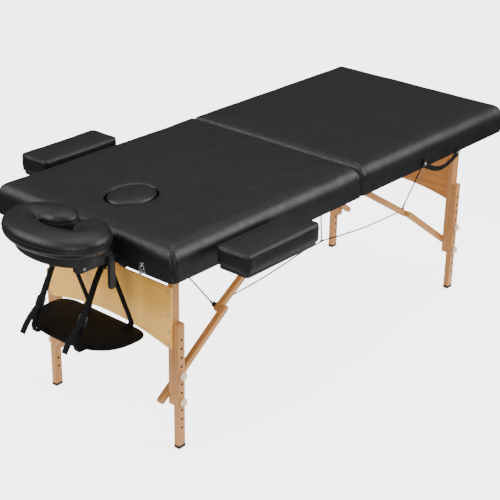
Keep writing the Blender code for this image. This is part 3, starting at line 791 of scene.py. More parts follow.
def cut_well(obj):
    """Face hole through the foam with a rolled rim."""
    rim = TABLE_TOP - PAD_START_DROP
    rows = ((0.0, rim - 0.15), (0.0, rim - 0.010), (0.0008, rim - 0.006), (0.0028, rim - 0.0022),
            (0.0060, rim + 0.0012), (0.0060, rim + 0.03))
    bm = loft(bmesh.new(), [oval((WELL_X, WELL_Y), WELL_A + grow, WELL_B + grow, z) for grow, z in rows])
    carve(obj, bm)


def near_well(points):
    x = (points[:, 0] - WELL_X) / WELL_A
    y = (points[:, 1] - WELL_Y) / WELL_B
    return np.hypot(x, y)


def pad_pins(points):
    held = points[:, 2] < SKIRT_Z + 0.012
    wall = (near_well(points) < 1.05) & (points[:, 2] < TABLE_TOP - 0.012)
    return (held | wall).astype(float)


def trim_pad(obj):
    """Open the pad underneath: skin only, folded under the frame edge with a short return."""
    bm = bmesh.new()
    bm.from_mesh(obj.data)
    bmesh.ops.bisect_plane(bm, geom=bm.verts[:] + bm.edges[:] + bm.faces[:], plane_co=(0, 0, SKIRT_Z),
                           plane_no=(0, 0, 1), clear_inner=True)
    drop = []
    for face in bm.faces:
        centre = face.calc_center_median()
        reach = math.hypot((centre.x - WELL_X) / (WELL_A + 0.02), (centre.y - WELL_Y) / (WELL_B + 0.02))
        if reach < 1 and centre.z < DECK_TOP + 0.001:
            drop.append(face)
    bmesh.ops.delete(bm, geom=drop, context="FACES")
    bm.normal_update()
    rim = [edge for edge in bm.edges if edge.is_boundary
           and all(abs(vert.co.z - SKIRT_Z) < 0.00002 for vert in edge.verts)]
    facing = {}
    for edge in rim:
        for vert in edge.verts:
            flat = Vector((vert.normal.x, vert.normal.y, 0.0))
            facing[vert.co.to_tuple(6)] = flat.normalized() if flat.length > 0.01 else flat
    made = bmesh.ops.extrude_edge_only(bm, edges=rim)["geom"]
    for vert in (item for item in made if isinstance(item, bmesh.types.BMVert)):
        vert.co -= facing[vert.co.to_tuple(6)] * SKIRT_LIP
    rim = [item for item in made if isinstance(item, bmesh.types.BMEdge)]
    made = bmesh.ops.extrude_edge_only(bm, edges=rim)["geom"]
    for vert in (item for item in made if isinstance(item, bmesh.types.BMVert)):
        vert.co.z += SKIRT_RETURN
    bmesh.ops.recalc_face_normals(bm, faces=bm.faces)
    bm.to_mesh(obj.data)
    bm.free()
    smooth(obj.data)
    obj.data.set_sharp_from_angle(angle=math.radians(60))


def ripple(along, spacing, seed):
    """Uneven ripples along a seam, from three sines with fixed phases."""
    phase = seed * 1.7
    base = 2 * math.pi * along / spacing
    return (np.sin(base + phase) + 0.6 * np.sin(base * 1.63 + 2.1 * phase)
            + 0.4 * np.sin(base * 0.47 + 0.7 * phase)) / 2


def pleat_corner(obj, corner_x, corner_y, sx, sy, radius, seed, depth=0.0032):
    """Pinched vertical seam at a pad's corner, with gathers fanning out from it."""
    points = coords(obj.data)
    out = normals(obj.data)
    cx = corner_x - sx * radius
    cy = corner_y - sy * radius
    dx, dy = (points[:, 0] - cx) * sx, (points[:, 1] - cy) * sy
    inside = (dx > -0.02) & (dy > -0.02)
    angle = np.arctan2(dy, dx) - math.pi / 4
    arc = angle * radius
    height = np.clip((TABLE_TOP - points[:, 2]) / 0.11, 0.0, 1.0)
    below = np.clip((points[:, 2] - SKIRT_Z - 0.004) / 0.02, 0.0, 1.0)
    top = np.clip((TABLE_TOP - 0.004 - points[:, 2]) / 0.018, 0.0, 1.0)
    groove = np.exp(-(arc / 0.0034) ** 2) * depth * top
    shoulders = np.exp(-((np.abs(arc) - 0.011) / 0.006) ** 2) * depth * 0.45 * top
    fan = np.abs(arc) / (0.012 + 0.020 * height)
    gathers = ripple(fan * 0.016, 0.019, seed) * np.exp(-fan / 2.2) * 0.0015 * top
    push = (shoulders + gathers - groove) * inside * below
    set_coords(obj.data, points + out * push[:, None])


def undulate(obj, size, seed):
    """Slow hand-stretched unevenness of the cover, in fixed long waves."""
    points = coords(obj.data)
    out = normals(obj.data)
    rng = np.random.default_rng(seed)
    push = np.zeros(len(points))
    for _ in range(9):
        direction = rng.normal(size=3)
        direction /= np.linalg.norm(direction)
        wave = rng.uniform(0.10, 0.34)
        push += np.sin(points @ direction * 2 * math.pi / wave + rng.uniform(0, 6.28))
    keep = np.clip((points[:, 2] - SKIRT_Z - 0.006) / 0.03, 0.0, 1.0) if seed < 10 else 1.0
    set_coords(obj.data, points + out * (push * keep * size / 3)[:, None])


def surface_path(obj, path, lift):
    """Lay path points on a piece's surface, lifted a little along its normal."""
    bm = bmesh.new()
    bm.from_mesh(obj.data)
    tree = BVHTree.FromBMesh(bm)
    bm.free()
    out = []
    for point in path:
        spot, normal, _, _ = tree.find_nearest(Vector(point))
        out.append(spot + normal * lift)
    smooth = []
    total = len(out)
    for i in range(total):
        smooth.append((out[i - 1] + out[i] * 2 + out[(i + 1) % total]) / 4)
    return smooth


def dense_loop(points, step):
    """Closed outline resampled at an even step."""
    pts = [Vector(p) for p in points]
    out = []
    for i, a in enumerate(pts):
        b = pts[(i + 1) % len(pts)]
        count = max(1, int(round((b - a).length / step)))
        out += [a.lerp(b, k / count) for k in range(count)]
    return out


def pucker(obj, path, spacing, size, reach, groove, seed):
    """Sink a sewn line into a piece and gather the cover beside it."""
    points = coords(obj.data)
    out = normals(obj.data)
    line = np.array([list(p) for p in path])
    steps = np.linalg.norm(np.roll(line, -1, axis=0) - line, axis=1)
    along = np.concatenate(([0.0], np.cumsum(steps)[:-1]))
    nearest = np.zeros(len(points), int)
    away = np.zeros(len(points))
    for start in range(0, len(points), 4000):
        part = points[start:start + 4000]
        gap = np.linalg.norm(part[:, None, :] - line[None, :, :], axis=2)
        nearest[start:start + 4000] = gap.argmin(axis=1)
        away[start:start + 4000] = gap.min(axis=1)
    sink = np.exp(-(away / 0.0042) ** 2) * groove
    gathers = ripple(along[nearest], spacing, seed) * size * np.exp(-(away / reach) ** 1.4)
    set_coords(obj.data, points + out * (gathers - sink)[:, None])


def cradle_centre_line():
    """C-shaped line of the face cushion, taken round the middle of its packed box."""
    low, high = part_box("cradle_cushion")
    high.x += CUSHION_REACH
    middle = (low + high) / 2
    a = (high.x - low.x) / 2 - CUSHION_HALF
    b = (high.y - low.y) / 2 - CUSHION_HALF
    first, last = CUSHION_TIPS
    path = []
    count = 60
    for k in range(count + 1):
        ang = math.radians(first + (last - first) * k / count)
        end = min(k, count - k) / 4
        width_here = math.sqrt(max(0.0, 1 - (1 - min(end, 1.0)) ** 2)) if end < 1 else 1.0
        path.append((middle.x + a * math.cos(ang), middle.y + b * math.sin(ang), max(width_here, 0.25)))
    return path


def with_normals(path):
    """Points and widths of a line in plan, each with its unit normal there."""
    for i, (x, y, w) in enumerate(path):
        a, b = path[max(i - 1, 0)], path[min(i + 1, len(path) - 1)]
        tx, ty = b[0] - a[0], b[1] - a[1]
        length = math.hypot(tx, ty)
        yield x, y, w, -ty / length, tx / length


def cushion_block():
    """Face cushion: fuller above the sewn line than below, closed round at both tips."""
    low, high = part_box("cradle_cushion")
    base = low.z + CUSHION_LIFT
    tall = high.z - base + CUSHION_CROWN
    section = []
    for k in range(24):
        ang = 2 * math.pi * k / 24
        c, s = math.cos(ang), math.sin(ang)
        side = CUSHION_HALF * math.copysign(abs(c) ** 0.62, c)
        rise = 0.5 + 0.5 * math.copysign(abs(s) ** (0.85 if s > 0 else 0.8), s)
        section.append((side, rise * tall))
    loops = []
    for x, y, w, nx, ny in with_normals(cradle_centre_line()):
        loops.append([(x + nx * s * w, y + ny * s * w, base + z * (0.55 + 0.45 * w)) for s, z in section])
    return loft(bmesh.new(), loops)


def shelf_outline(inset, z):
    """Arm shelf plan: straight rear edge, rounded rear corners, bowed front."""
    low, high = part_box("arm_shelf")
    middle_y = (low.y + high.y) / 2
    half_w = (high.y - low.y) / 2 - inset
    rear, front = high.x - inset, low.x + inset
    widest = high.x - SHELF_WIDEST
    flat = SHELF_FLAT - inset
    quarter = [math.radians(90 * k / 18) for k in range(19)]
    curve = [(max(math.cos(ang), 0.0) ** SHELF_POWER, math.sin(ang) ** SHELF_POWER) for ang in quarter]
    half = [(widest + (rear - widest) * c, flat + (half_w - flat) * s) for c, s in curve]
    half += [(widest + (front - widest) * s, half_w * c) for c, s in curve[1:]]
    other = [(x, -y) for x, y in reversed(half[:-1])]
    return [(x, y + middle_y, z) for x, y in half + other]


def shelf_block():
    low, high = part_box("arm_shelf")
    rows = ((0.0022, low.z + 0.0002), (0.0004, low.z + 0.0016), (0.0, (low.z + high.z) / 2),
            (0.0008, high.z - 0.0016), (0.0040, high.z + 0.0002), (0.0200, high.z + 0.0014))
    return loft(bmesh.new(), [shelf_outline(inset, z) for inset, z in rows])


def held_below(level):
    """Pins for a piece that rests on a board: every point below a level."""
    return lambda points: (points[:, 2] < level).astype(float)


def upholstery():
    """Make every padded piece, run the cloth once, then add the sewn detail."""
    for half in HALVES:
        padded_piece(half + "_upholstery", pad_block(half), half + "_pad", PAD_CLOTH, pad_pins,
                     cut_well if half == "head" else None)
    low = WELL[0]
    rows = ((0.984, low.z), (1.0, low.z + 0.008), (1.0, TABLE_TOP - 0.012), (0.985, TABLE_TOP - 0.005),
            (0.945, TABLE_TOP - 0.001), (0.86, TABLE_TOP + 0.0015), (0.55, TABLE_TOP + 0.003))
    plug = loft(bmesh.new(), [oval((WELL_X, WELL_Y), PLUG_A * s, PLUG_B * s, z) for s, z in rows])
    padded_piece("plug_upholstery", plug, "face_hole_plug", PLUG_CLOTH, held_below(TABLE_TOP - 0.010))
    for side in SIDES:
        low, high = (list(corner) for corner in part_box(side + "_armrest_pad"))
        bm = rolled_block(low, high, ARMREST_CORNERS, 0.007, 0.004)
        padded_piece(side + "_armrest_upholstery", bm, side + "_armrest_pad", ARMREST_CLOTH,
                     held_below(low[2] + 0.004))
    padded_piece("face_cushion_upholstery", cushion_block(), "cradle_cushion", CUSHION_CLOTH,
                 held_below(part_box("cradle_cushion")[0].z + 0.004))
    padded_piece("arm_shelf_upholstery", shelf_block(), "arm_shelf", SHELF_CLOTH,
                 held_below(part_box("arm_shelf")[0].z + 0.001))
    run_cloth()

    for half, sx in HALVES.items():
        obj = PADDED[half + "_pad"][0]
        low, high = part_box(half + "_pad")
        end = low.x if sx < 0 else high.x
        undulate(obj, 0.0006, 3 if sx < 0 else 4)
        for side, sy in SIDES.items():
            pleat_corner(obj, end, sy * high.y, sx, sy, PAD_CORNER, 2 + sx + 3 * sy)
            pleat_corner(obj, FOLD_X, sy * high.y, -sx, sy, FOLD_CORNER, 9 + sx + sy, 0.0016)
        trim_pad(obj)
    for side in SIDES:
        sew_armrest(side)
    sew_plug()
    sew_cushion()
    sew_shelf()
    for node, (obj, _, _, fill) in PADDED.items():
        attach(obj, body_of(node))
        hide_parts(node)


def sewn_welt(name, obj, path, node, radius=PIPING_R, lift=0.0003):
    """Corded seam laid on a padded piece."""
    laid = surface_path(obj, path, lift)
    return piece(name, closed_tube(bmesh.new(), laid, radius), "cover", body_of(node), (), 80.0)


def sew_armrest(side):
    node = side + "_armrest_pad"
    obj = PADDED[node][0]
    low, high = (list(corner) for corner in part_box(node))
    undulate(obj, 0.0005, 11)
    for tag, z, inset in (("upper", high[2] - 0.0035, 0.0025), ("lower", low[2] + 0.008, 0.0)):
        path = dense_loop(outline(low, high, ARMREST_CORNERS, inset, z), 0.004)
        pucker(obj, path, 0.017, 0.0006, 0.010, 0.0013, 3)
        sewn_welt(side + "_armrest_" + tag + "_seam", obj, path, node, PIPING_R if tag == "upper" else 0.0008)


def sew_plug():
    obj = PADDED["face_hole_plug"][0]
    path = dense_loop(oval((WELL_X, WELL_Y), PLUG_A * 0.975, PLUG_B * 0.975, TABLE_TOP - 0.0035, 72), 0.004)
    pucker(obj, path, 0.015, 0.0002, 0.008, 0.0004, 5)


def sew_cushion():
    """Sewn line round the outer wall, gathers beside it, a pinched tuck and long wrinkles."""
    obj = PADDED["cradle_cushion"][0]
    low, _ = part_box("cradle_cushion")
    seam_z = low.z + CUSHION_SEAM
    outer, inner = [], []
    for x, y, w, nx, ny in with_normals(cradle_centre_line()):
        reach = (CUSHION_HALF + 0.003) * w
        outer.append((x - nx * reach, y - ny * reach, seam_z))
        inner.append((x + nx * reach, y + ny * reach, seam_z))
    path = dense_loop(outer + inner[::-1], 0.004)
    undulate(obj, 0.0009, 12)
    pucker(obj, path, 0.034, 0.0007, 0.014, 0.0024, 7)
    points = coords(obj.data)
    out = normals(obj.data)
    tuck = Vector(outer[int(len(outer) * 0.70)])
    beside = np.hypot(points[:, 0] - tuck.x, points[:, 1] - tuck.y)
    below = np.clip((seam_z + 0.004 - points[:, 2]) / 0.008, 0.0, 1.0)
    fold = np.exp(-(beside / 0.0045) ** 2) * 0.0038 * below
    far_side = np.clip((points[:, 1] - tuck.y + 0.01) / 0.03, 0.0, 1.0)
    rays = np.sin((points[:, 2] - low.z) * 2 * math.pi / 0.0175 + beside * 16) * np.exp(-beside / 0.085)
    rays = rays * (0.25 + 0.75 * far_side)
    middle = np.clip((points[:, 2] - low.z) / 0.012, 0.0, 1.0)
    middle = middle * np.clip((seam_z - points[:, 2]) / 0.010, 0.0, 1.0)
    set_coords(obj.data, points + out * (rays * 0.0023 * middle - fold)[:, None])
    sewn_welt("face_cushion_seam", obj, path, "cradle_cushion", 0.0011, 0.0001)


def sew_shelf():
    obj = PADDED["arm_shelf"][0]
    low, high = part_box("arm_shelf")
    hem = dense_loop(shelf_outline(0.011, high.z + 0.001), 0.005)
    pucker(obj, hem, 0.022, 0.0004, 0.010, 0.0009, 4)
    sewn_welt("arm_shelf_hem", obj, dense_loop(shelf_outline(0.0005, (low.z + high.z) / 2), 0.005),
              "arm_shelf", 0.0012, 0.0)


# ---------------------------------------------------------------- woodwork

def extension(node):
    """Sliding leg bar with its row of clean round holes, their walls given a painted shade."""
    low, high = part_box(node)
    bm = block(high - low, WOOD_EDGE, 3)
    bmesh.ops.translate(bm, vec=(low + high) / 2, verts=bm.verts)
    obj = piece(node + "_finished", bm, "shin", body_of(node), (node,), 30.0)
    verts = coords(NODES[node].data)
    inner = (verts[:, 2] > low.z + 0.02) & (verts[:, 2] < high.z - 0.02)
    levels = sorted({round(float(z), 4) for z in verts[inner, 2]})
    centres = []
    for z in levels:
        if not centres or z - centres[-1][0] > 0.012:
            centres.append([z, z])
        centres[-1][1] = z
    holes = bmesh.new()
    x = (low.x + high.x) / 2
    for first, last in centres:
        lathe(holes, [(HOLE_R, -0.01), (HOLE_R, 0.04)], (x, low.y, (first + last) / 2), (0, 1, 0), 24)
    carve(obj, holes)
    obj.data.set_sharp_from_angle(angle=math.radians(30))
    # The hole walls take the near-black painted shade, standing in for the shadow deep inside each hole.
    obj.data.materials.append(MATS["hole_shade"])
    reach = (high.x - low.x) / 2 * 0.6
    for poly in obj.data.polygons:
        inside = low.z + 0.005 < poly.center.z < high.z - 0.005 and abs(poly.center.x - x) < reach
        if inside and abs(poly.normal.y) < 0.5:
            poly.material_index = 1


def strut(node, mat_name):
    """Brace bar rebuilt with true round ends and eased edges, its grain turned along it."""
    verts = coords(NODES[node].data)
    flat = verts[:, (0, 2)]
    middle = flat.mean(axis=0)
    corners = (flat.max(axis=0) + flat.min(axis=0)) / 2
    _, _, axes = np.linalg.svd(flat - middle)
    ux, uz = axes[0]
    along = (flat - corners) @ axes[0]
    over = (flat - corners) @ axes[1]
    centre = corners + axes[0] * (along.max() + along.min()) / 2 + axes[1] * (over.max() + over.min()) / 2
    half_l = (along.max() - along.min()) / 2
    half_d = (over.max() - over.min()) / 2
    y0, y1 = verts[:, 1].min(), verts[:, 1].max()
    turn = math.atan2(uz, ux)
    key = round(turn, 3)
    if key not in STRUT_TURNS:
        MATS[mat_name] = beech("beech_" + mat_name, 0, -turn, PALE_BEECH, DARK_BEECH)
        STRUT_TURNS[key] = mat_name

    def rim(inset, y):
        out = []
        for way in (1, -1):
            for k in range(15):
                ang = turn + math.radians(-90 + 180 * k / 14) + (0 if way > 0 else math.pi)
                cx = centre[0] + way * ux * (half_l - half_d)
                cz = centre[1] + way * uz * (half_l - half_d)
                out.append((cx + (half_d - inset) * math.cos(ang), y, cz + (half_d - inset) * math.sin(ang)))
        return out

    ease = WOOD_EDGE
    rows = ((ease, y0), (ease * 0.3, y0 + ease * 0.3), (0.0, y0 + ease), (0.0, y1 - ease),
            (ease * 0.3, y1 - ease * 0.3), (ease, y1))
    bm = loft(bmesh.new(), [rim(inset, y) for inset, y in rows])
    piece(node + "_finished", bm, STRUT_TURNS[key], body_of(node), (node,), 40.0)


def knob(node):
    """Scalloped hand knob with a dished face and a short collar."""
    low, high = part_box(node)
    centre = (low + high) / 2
    outward = 1.0 if centre.y > 0 else -1.0
    base = low.y if outward > 0 else high.y
    radius = (high.x - low.x) / 2
    depth = high.y - low.y
    profile = [(0.58, 0.0), (0.60, 0.10), (0.86, 0.16), (0.97, 0.26), (1.0, 0.38), (1.0, 0.68),
               (0.965, 0.82), (0.88, 0.93), (0.74, 0.99), (0.50, 0.975), (0.25, 0.95)]
    profile = [(radius * r, depth * h) for r, h in profile]
    bm = lathe(bmesh.new(), profile, (centre.x, base, centre.z), (0, outward, 0), 72, 8, 0.13)
    piece(node + "_finished", bm, "knob", body_of(node), (node,), 60.0)


def woodwork():
    for half in HALVES:
        soften(half + "_frame", "rail", 0.0010)
        soften(half + "_end_panel", half + "_panel", 0.0012)
        for side in SIDES:
            tag = half + "_" + side
            soften(tag + "_leg", "leg")
            extension(tag + "_extension")
            strut(tag + "_upper_strut", half + "_upper")
            strut(tag + "_lower_strut", half + "_lower")
            soften(tag + "_foot", "rubber", 0.0016, 3)
            for row in ("upper", "lower"):
                knob(tag + "_" + row + "_knob")


# ---------------------------------------------------------------- metal, cables and straps

def knee_of(half, side):
    """Knee pin: where the two bars of a brace cross, in the XZ plane."""
    lines = []
    for bar in ("upper", "lower"):
        flat = coords(NODES[half + "_" + side + "_" + bar + "_strut"].data)[:, (0, 2)]
        middle = (flat.max(axis=0) + flat.min(axis=0)) / 2
        _, _, axes = np.linalg.svd(flat - flat.mean(axis=0))
        lines.append((middle, axes[0]))
    (p, u), (q, v) = lines
    t = ((q[0] - p[0]) * v[1] - (q[1] - p[1]) * v[0]) / (u[0] * v[1] - u[1] * v[0])
    return p + u * t


def panel_screws():
    """Screws that fix each end panel to its legs."""
    for half, sx in HALVES.items():
        low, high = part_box(half + "_end_panel")
        leg_low, leg_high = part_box(half + "_near_leg")
        face = low.x if sx < 0 else high.x
        inner_y = abs((leg_low.y + leg_high.y) / 2)
        bm = bmesh.new()
        for sy in SIDES.values():
            for share in (0.028, 0.236, 0.50, 0.88):
                z = low.z + 0.006 + share * (high.z - low.z)
                fastener(bm, (face, sy * inner_y, z), (sx, 0, 0), 0.0042)
        piece(half + "_panel_screws", bm, "steel", half + "_legs")


def brace_pins():
    """Rivets at the frame pin, the knee and the leg pin of every brace."""
    for half in HALVES:
        for side, sy in SIDES.items():
            tag = half + "_" + side
            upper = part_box(tag + "_upper_strut")
            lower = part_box(tag + "_lower_strut")
            top = JOINTS[half + "_upper_strut_fold"]["pos_m"]
            low_pin = JOINTS[half + "_lower_strut_fold"]["pos_m"]
            knee = knee_of(half, side)
            bm = bmesh.new()
            inner = min(abs(upper[0].y), abs(upper[1].y))
            outer = max(abs(lower[0].y), abs(lower[1].y))
            fastener(bm, (knee[0], sy * inner, knee[1]), (0, -sy, 0), 0.0045)
            fastener(bm, (top[0], sy * inner, top[2]), (0, -sy, 0), 0.0038)
            piece(tag + "_upper_rivets", bm, "steel", half + "_upper_struts")
            bm = bmesh.new()
            fastener(bm, (knee[0], sy * outer, knee[1]), (0, sy, 0), 0.0045)
            inner_low = min(abs(lower[0].y), abs(lower[1].y))
            fastener(bm, (low_pin[0], sy * inner_low, low_pin[2]), (0, -sy, 0), 0.0040)
            piece(tag + "_lower_rivets", bm, "steel", half + "_lower_struts")


def sleeve(bm, centre, axis, half=0.010):
    """Crimped ferrule round a cable."""
    profile = [(0.0030, -half), (0.0034, 0.002 - half), (0.0034, half - 0.002), (0.0030, half)]
    return lathe(bm, profile, centre, axis, 14)


def cables():
    """Coated steel cables with crimped sleeves: corner cables and the knee-to-knee cables."""
    for side, sy in SIDES.items():
        y_line = CABLE_Y * sy
        hinge_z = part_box(side + "_side_cable")[1].z
        for half, sx in HALVES.items():
            struts = half + "_upper_struts"
            half_body = half + "_half"
            knee = knee_of(half, side)
            low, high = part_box(half + "_" + side + "_corner_cable")
            top = Vector((low.x if sx < 0 else high.x, y_line, high.z))
            foot = Vector((knee[0] + sx * 0.010, y_line, knee[1] + 0.012))
            sag = (top + foot) / 2 + Vector((-sx * 0.004, 0, -0.006))
            bm = tube(bmesh.new(), curve_points((top, sag, foot), 0.012), CABLE_R)
            cable = piece(half + "_" + side + "_corner_cable_rope", bm, "cable", None,
                          (half + "_" + side + "_corner_cable",))
            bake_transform(cable)
            knot = Vector((FOLD_X + sx * KNOT_X, y_line, KNOT_Z))
            grip = Vector((knee[0] - sx * 0.004, y_line, knee[1] + 0.004))
            low_point = grip.lerp(knot, 0.5) - Vector((0, 0, 0.010))
            bm = tube(bmesh.new(), curve_points((grip, low_point, knot), 0.012), CABLE_R)
            run = piece(side + "_" + half + "_run_cable", bm, "cable", None, ())
            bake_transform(run)
            hang = Vector((FOLD_X + sx * KNOT_X * 0.35, y_line, hinge_z))
            bm = tube(bmesh.new(), (knot, knot.lerp(hang, 0.5), hang), CABLE_R * 0.95)
            lathe(bm, [(0.0032, -0.008), (0.0032, 0.008)], knot, (1, 0, 0), 14)
            piece(side + "_" + half + "_hanger", bm, "cable", half_body)
            bm = bmesh.new()
            clamp_axis = (foot - sag).normalized()
            sleeve(bm, foot - clamp_axis * 0.008, clamp_axis)
            pull = (grip - knot).normalized()
            sleeve(bm, grip - pull * 0.012, pull)
            tab_spot = (knee[0] + sx * 0.003, y_line + sy * 0.0030, knee[1] + 0.004)
            merge(bm, block((0.030, 0.0016, 0.018), 0.0006), turned((sx * 0.6, 0, 0.8), (0, 1, 0), tab_spot))
            piece(half + "_" + side + "_knee_fitting", bm, "cable", struts)
            bm = bmesh.new()
            merge(bm, block((0.020, 0.012, 0.0014), 0.0005), Matrix.Translation(top + Vector((0, 0, 0.0010))))
            sleeve(bm, top + (sag - top).normalized() * 0.012, (sag - top).normalized(), 0.009)
            piece(half + "_" + side + "_cable_anchor", bm, "cable", half_body)
        link = [(FOLD_X - KNOT_X, y_line, KNOT_Z), (FOLD_X, y_line, KNOT_Z - 0.003),
                (FOLD_X + KNOT_X, y_line, KNOT_Z)]
        bm = tube(bmesh.new(), curve_points(link, 0.008), CABLE_R)
        middle = piece(side + "_link_cable", bm, "cable", None, (side + "_side_cable",))
        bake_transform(middle)


def buckle(bm, centre, ahead, across, width):
    """Ladder-lock buckle: two side rails and three bars, the last one a raised lip."""
    placed = turned(ahead, across, centre)
    for sy in (-1, 1):
        rail = block((0.031, 0.0042, 0.0050), 0.0012)
        merge(bm, rail, placed @ Matrix.Translation((0, sy * (width / 2 + 0.0030), 0)))
    for x, thick, lift in ((-0.0135, 0.0042, 0.0), (-0.0015, 0.0036, 0.0022), (0.0125, 0.0060, 0.0012)):
        bar = block((thick, width + 0.007, 0.0040), 0.0012)
        merge(bm, bar, placed @ Matrix.Translation((x, 0, lift)))
    return bm


def shelf_straps():
    """Webbing loops of the arm shelf, with ladder-lock buckles and hanging tails."""
    for side in SIDES:
        node = side + "_shelf_strap"
        low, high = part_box(node)
        y = (low.y + high.y) / 2
        width = high.y - low.y
        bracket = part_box("cradle_bracket")[0].z
        top_x = STRAP_TOP_X
        front, rear = low.x + 0.0012, high.x - 0.0012
        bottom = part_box("arm_shelf")[0].z - 0.0014
        route = [(top_x, y, bracket - 0.0004), (top_x - 0.004, y, bracket - 0.018)]
        route += [(top_x + (front - top_x) * t, y, bracket - (bracket - STRAP_FRONT_Z) * t)
                  for t in (0.25, 0.5, 0.75)]
        route += [(front + 0.0015, y, STRAP_FRONT_Z), (front + 0.0005, y, 0.434),
                  (front + 0.004, y, bottom + 0.0015), (front + 0.012, y, bottom),
                  (front + 0.09, y, bottom), (rear - 0.07, y, bottom), (rear - 0.010, y, bottom),
                  (rear - 0.0025, y, bottom + 0.0015), (rear, y, STRAP_REAR_Z)]
        back_x = top_x + 0.0192
        route += [(rear + (back_x - rear) * t, y, STRAP_REAR_Z + (bracket - STRAP_REAR_Z) * t)
                  for t in (0.3, 0.6, 0.93)]
        route += [(back_x, y, bracket - 0.0004)]
        bm = bmesh.new()
        ribbon(bm, curve_points(route, 0.009), [width], STRAP_THICK, across=(0, 1, 0))
        piece(side + "_strap_webbing", bm, "webbing", "cradle_carrier", (node,), 50.0)
        ahead = Vector((front - top_x, 0, STRAP_FRONT_Z - bracket))
        spot = Vector((top_x, y, bracket)) + ahead * BUCKLE_PLACE
        ahead.normalize()
        out = Vector((ahead.z, 0, -ahead.x))
        bm = buckle(bmesh.new(), spot + out * 0.0028, ahead, (0, 1, 0), width)
        piece(side + "_strap_buckle", bm, "black_plastic", "cradle_carrier")
        lay = [spot - ahead * 0.075 + out * 0.0022, spot - ahead * 0.030 + out * 0.0024,
               spot + out * 0.0062, spot + ahead * 0.016 + out * 0.0080,
               spot + ahead * 0.045 + out * 0.022, spot + ahead * 0.078 + out * 0.032,
               spot + ahead * 0.108 + out * 0.036]
        bm = ribbon(bmesh.new(), curve_points(lay, 0.007), [width], STRAP_THICK, across=(0, 1, 0))
        piece(side + "_strap_tail", bm, "webbing", "cradle_carrier", (), 50.0)
        bm = bmesh.new()
        for x, tilt in ((top_x - 0.001, 0.25), (back_x + 0.001, -0.2)):
            loop = block((0.026, width + 0.002, 0.0052), 0.0014)
            merge(bm, loop, turned((tilt, 0, -1), (0, 1, 0), (x, y, bracket - 0.014)))
        piece(side + "_strap_stitched_ends", bm, "webbing", "cradle_carrier")


def carry_handle():
    """Webbing handle: rolled grip, flat stitched ends and chrome screws with washers."""
    low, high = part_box("carry_handle")
    plane = high.y - 0.0032
    left, right = low.x + 0.006, high.x - 0.006
    first, last = HANDLE_ENDS
    points = []
    widths = []
    count = 44
    for k in range(count + 1):
        t = k / count
        z = first + (last - first) * t - 4 * HANDLE_SAG * t * (1 - t)
        bulge = math.sin(math.pi * t) * 0.0015
        points.append((left + (right - left) * t, plane - bulge, z))
        narrowed = min(max((min(t, 1 - t) / 0.20 - 0.45) / 0.55, 0.0), 1.0)
        widths.append(HANDLE_WIDE - HANDLE_NARROW * narrowed)
    bm = ribbon(bmesh.new(), points, widths, 0.0042, face=(0, 1, 0))
    piece("carry_handle_webbing", bm, "webbing", "foot_half", ("carry_handle",), 60.0)
    bm = bmesh.new()
    plates = bmesh.new()
    for spot, ahead in ((Vector(points[2]), Vector(points[4]) - Vector(points[0])),
                        (Vector(points[-3]), Vector(points[-1]) - Vector(points[-5]))):
        placed = turned(ahead, ahead.cross(Vector((0, 1, 0))), spot - Vector((0, 0.0030, 0)))
        merge(plates, block((0.024, 0.0200, 0.0016), 0.0007), placed)
        fastener(bm, spot - Vector((0, 0.0036, 0)), (0, -1, 0), 0.0048)
    piece("carry_handle_plates", plates, "black_plastic", "foot_half")
    piece("carry_handle_screws", bm, "chrome", "foot_half")


def latch():
    """Chrome hook on its screwed plate at the head end."""
    low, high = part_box("end_latch")
    y = (low.y + high.y) / 2
    x = high.x
    profile = [(x, high.z), (x - 0.0035, high.z + 0.0004), (x - 0.0070, high.z - 0.004), (x - 0.0082, 0.690),
               (x - 0.0084, 0.680), (x - 0.0084, 0.667), (x - 0.0070, 0.6625), (x - 0.0040, 0.6600),
               (x - 0.0014, 0.6612), (x - 0.0006, 0.6640), (x - 0.0032, 0.6664), (x - 0.0048, 0.6700),
               (x - 0.0050, 0.6880), (x - 0.0030, 0.6905), (x, 0.6912)]
    loops = [[(px, yy, pz) for px, pz in profile] for yy in (y - HOOK_HALF, y + HOOK_HALF)]
    bm = loft(bmesh.new(), loops)
    ease_edges(piece("latch_hook", bm, "chrome", "latch", ("end_latch",), 30.0), 0.0006, 2, 50)
    bm = bmesh.new()
    plate_x = HEAD_END - 0.0008
    merge(bm, block((0.0012, 0.026, 0.024), 0.0005), Matrix.Translation((plate_x, y, 0.6800)))
    tube(bm, ((plate_x - 0.0025, y - HOOK_HALF - 0.003, high.z - 0.002),
              (plate_x - 0.0025, y + HOOK_HALF + 0.003, high.z - 0.002)), 0.0019, 14)
    merge(bm, block((0.0012, 0.013, 0.016), 0.0005), Matrix.Translation((plate_x, y, high.z - 0.004)))
    for sy in (-1, 1):
        fastener(bm, (plate_x - 0.0006, y + sy * 0.0078, 0.6840), (-1, 0, 0), 0.0024)
    piece("latch_plate", bm, "chrome", "head_half")


def cradle_platform():
    """Moulded platform under the face cushion, narrower than the cushion and out of sight."""
    low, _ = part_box("cradle_platform")
    floor_z = low.z + 0.006
    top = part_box("cradle_cushion")[0].z + CUSHION_LIFT + 0.006
    section = ((-0.018, floor_z + 0.004), (-0.014, floor_z), (0.014, floor_z), (0.018, floor_z + 0.004),
               (0.018, top), (-0.018, top))
    loops = [[(x + nx * side * w, y + ny * side * w, z) for side, z in section]
             for x, y, w, nx, ny in with_normals(cradle_centre_line())]
    piece("cradle_platform_moulding", loft(bmesh.new(), loops), "black_board",
          body_of("cradle_platform"), ("cradle_platform",), 40.0)


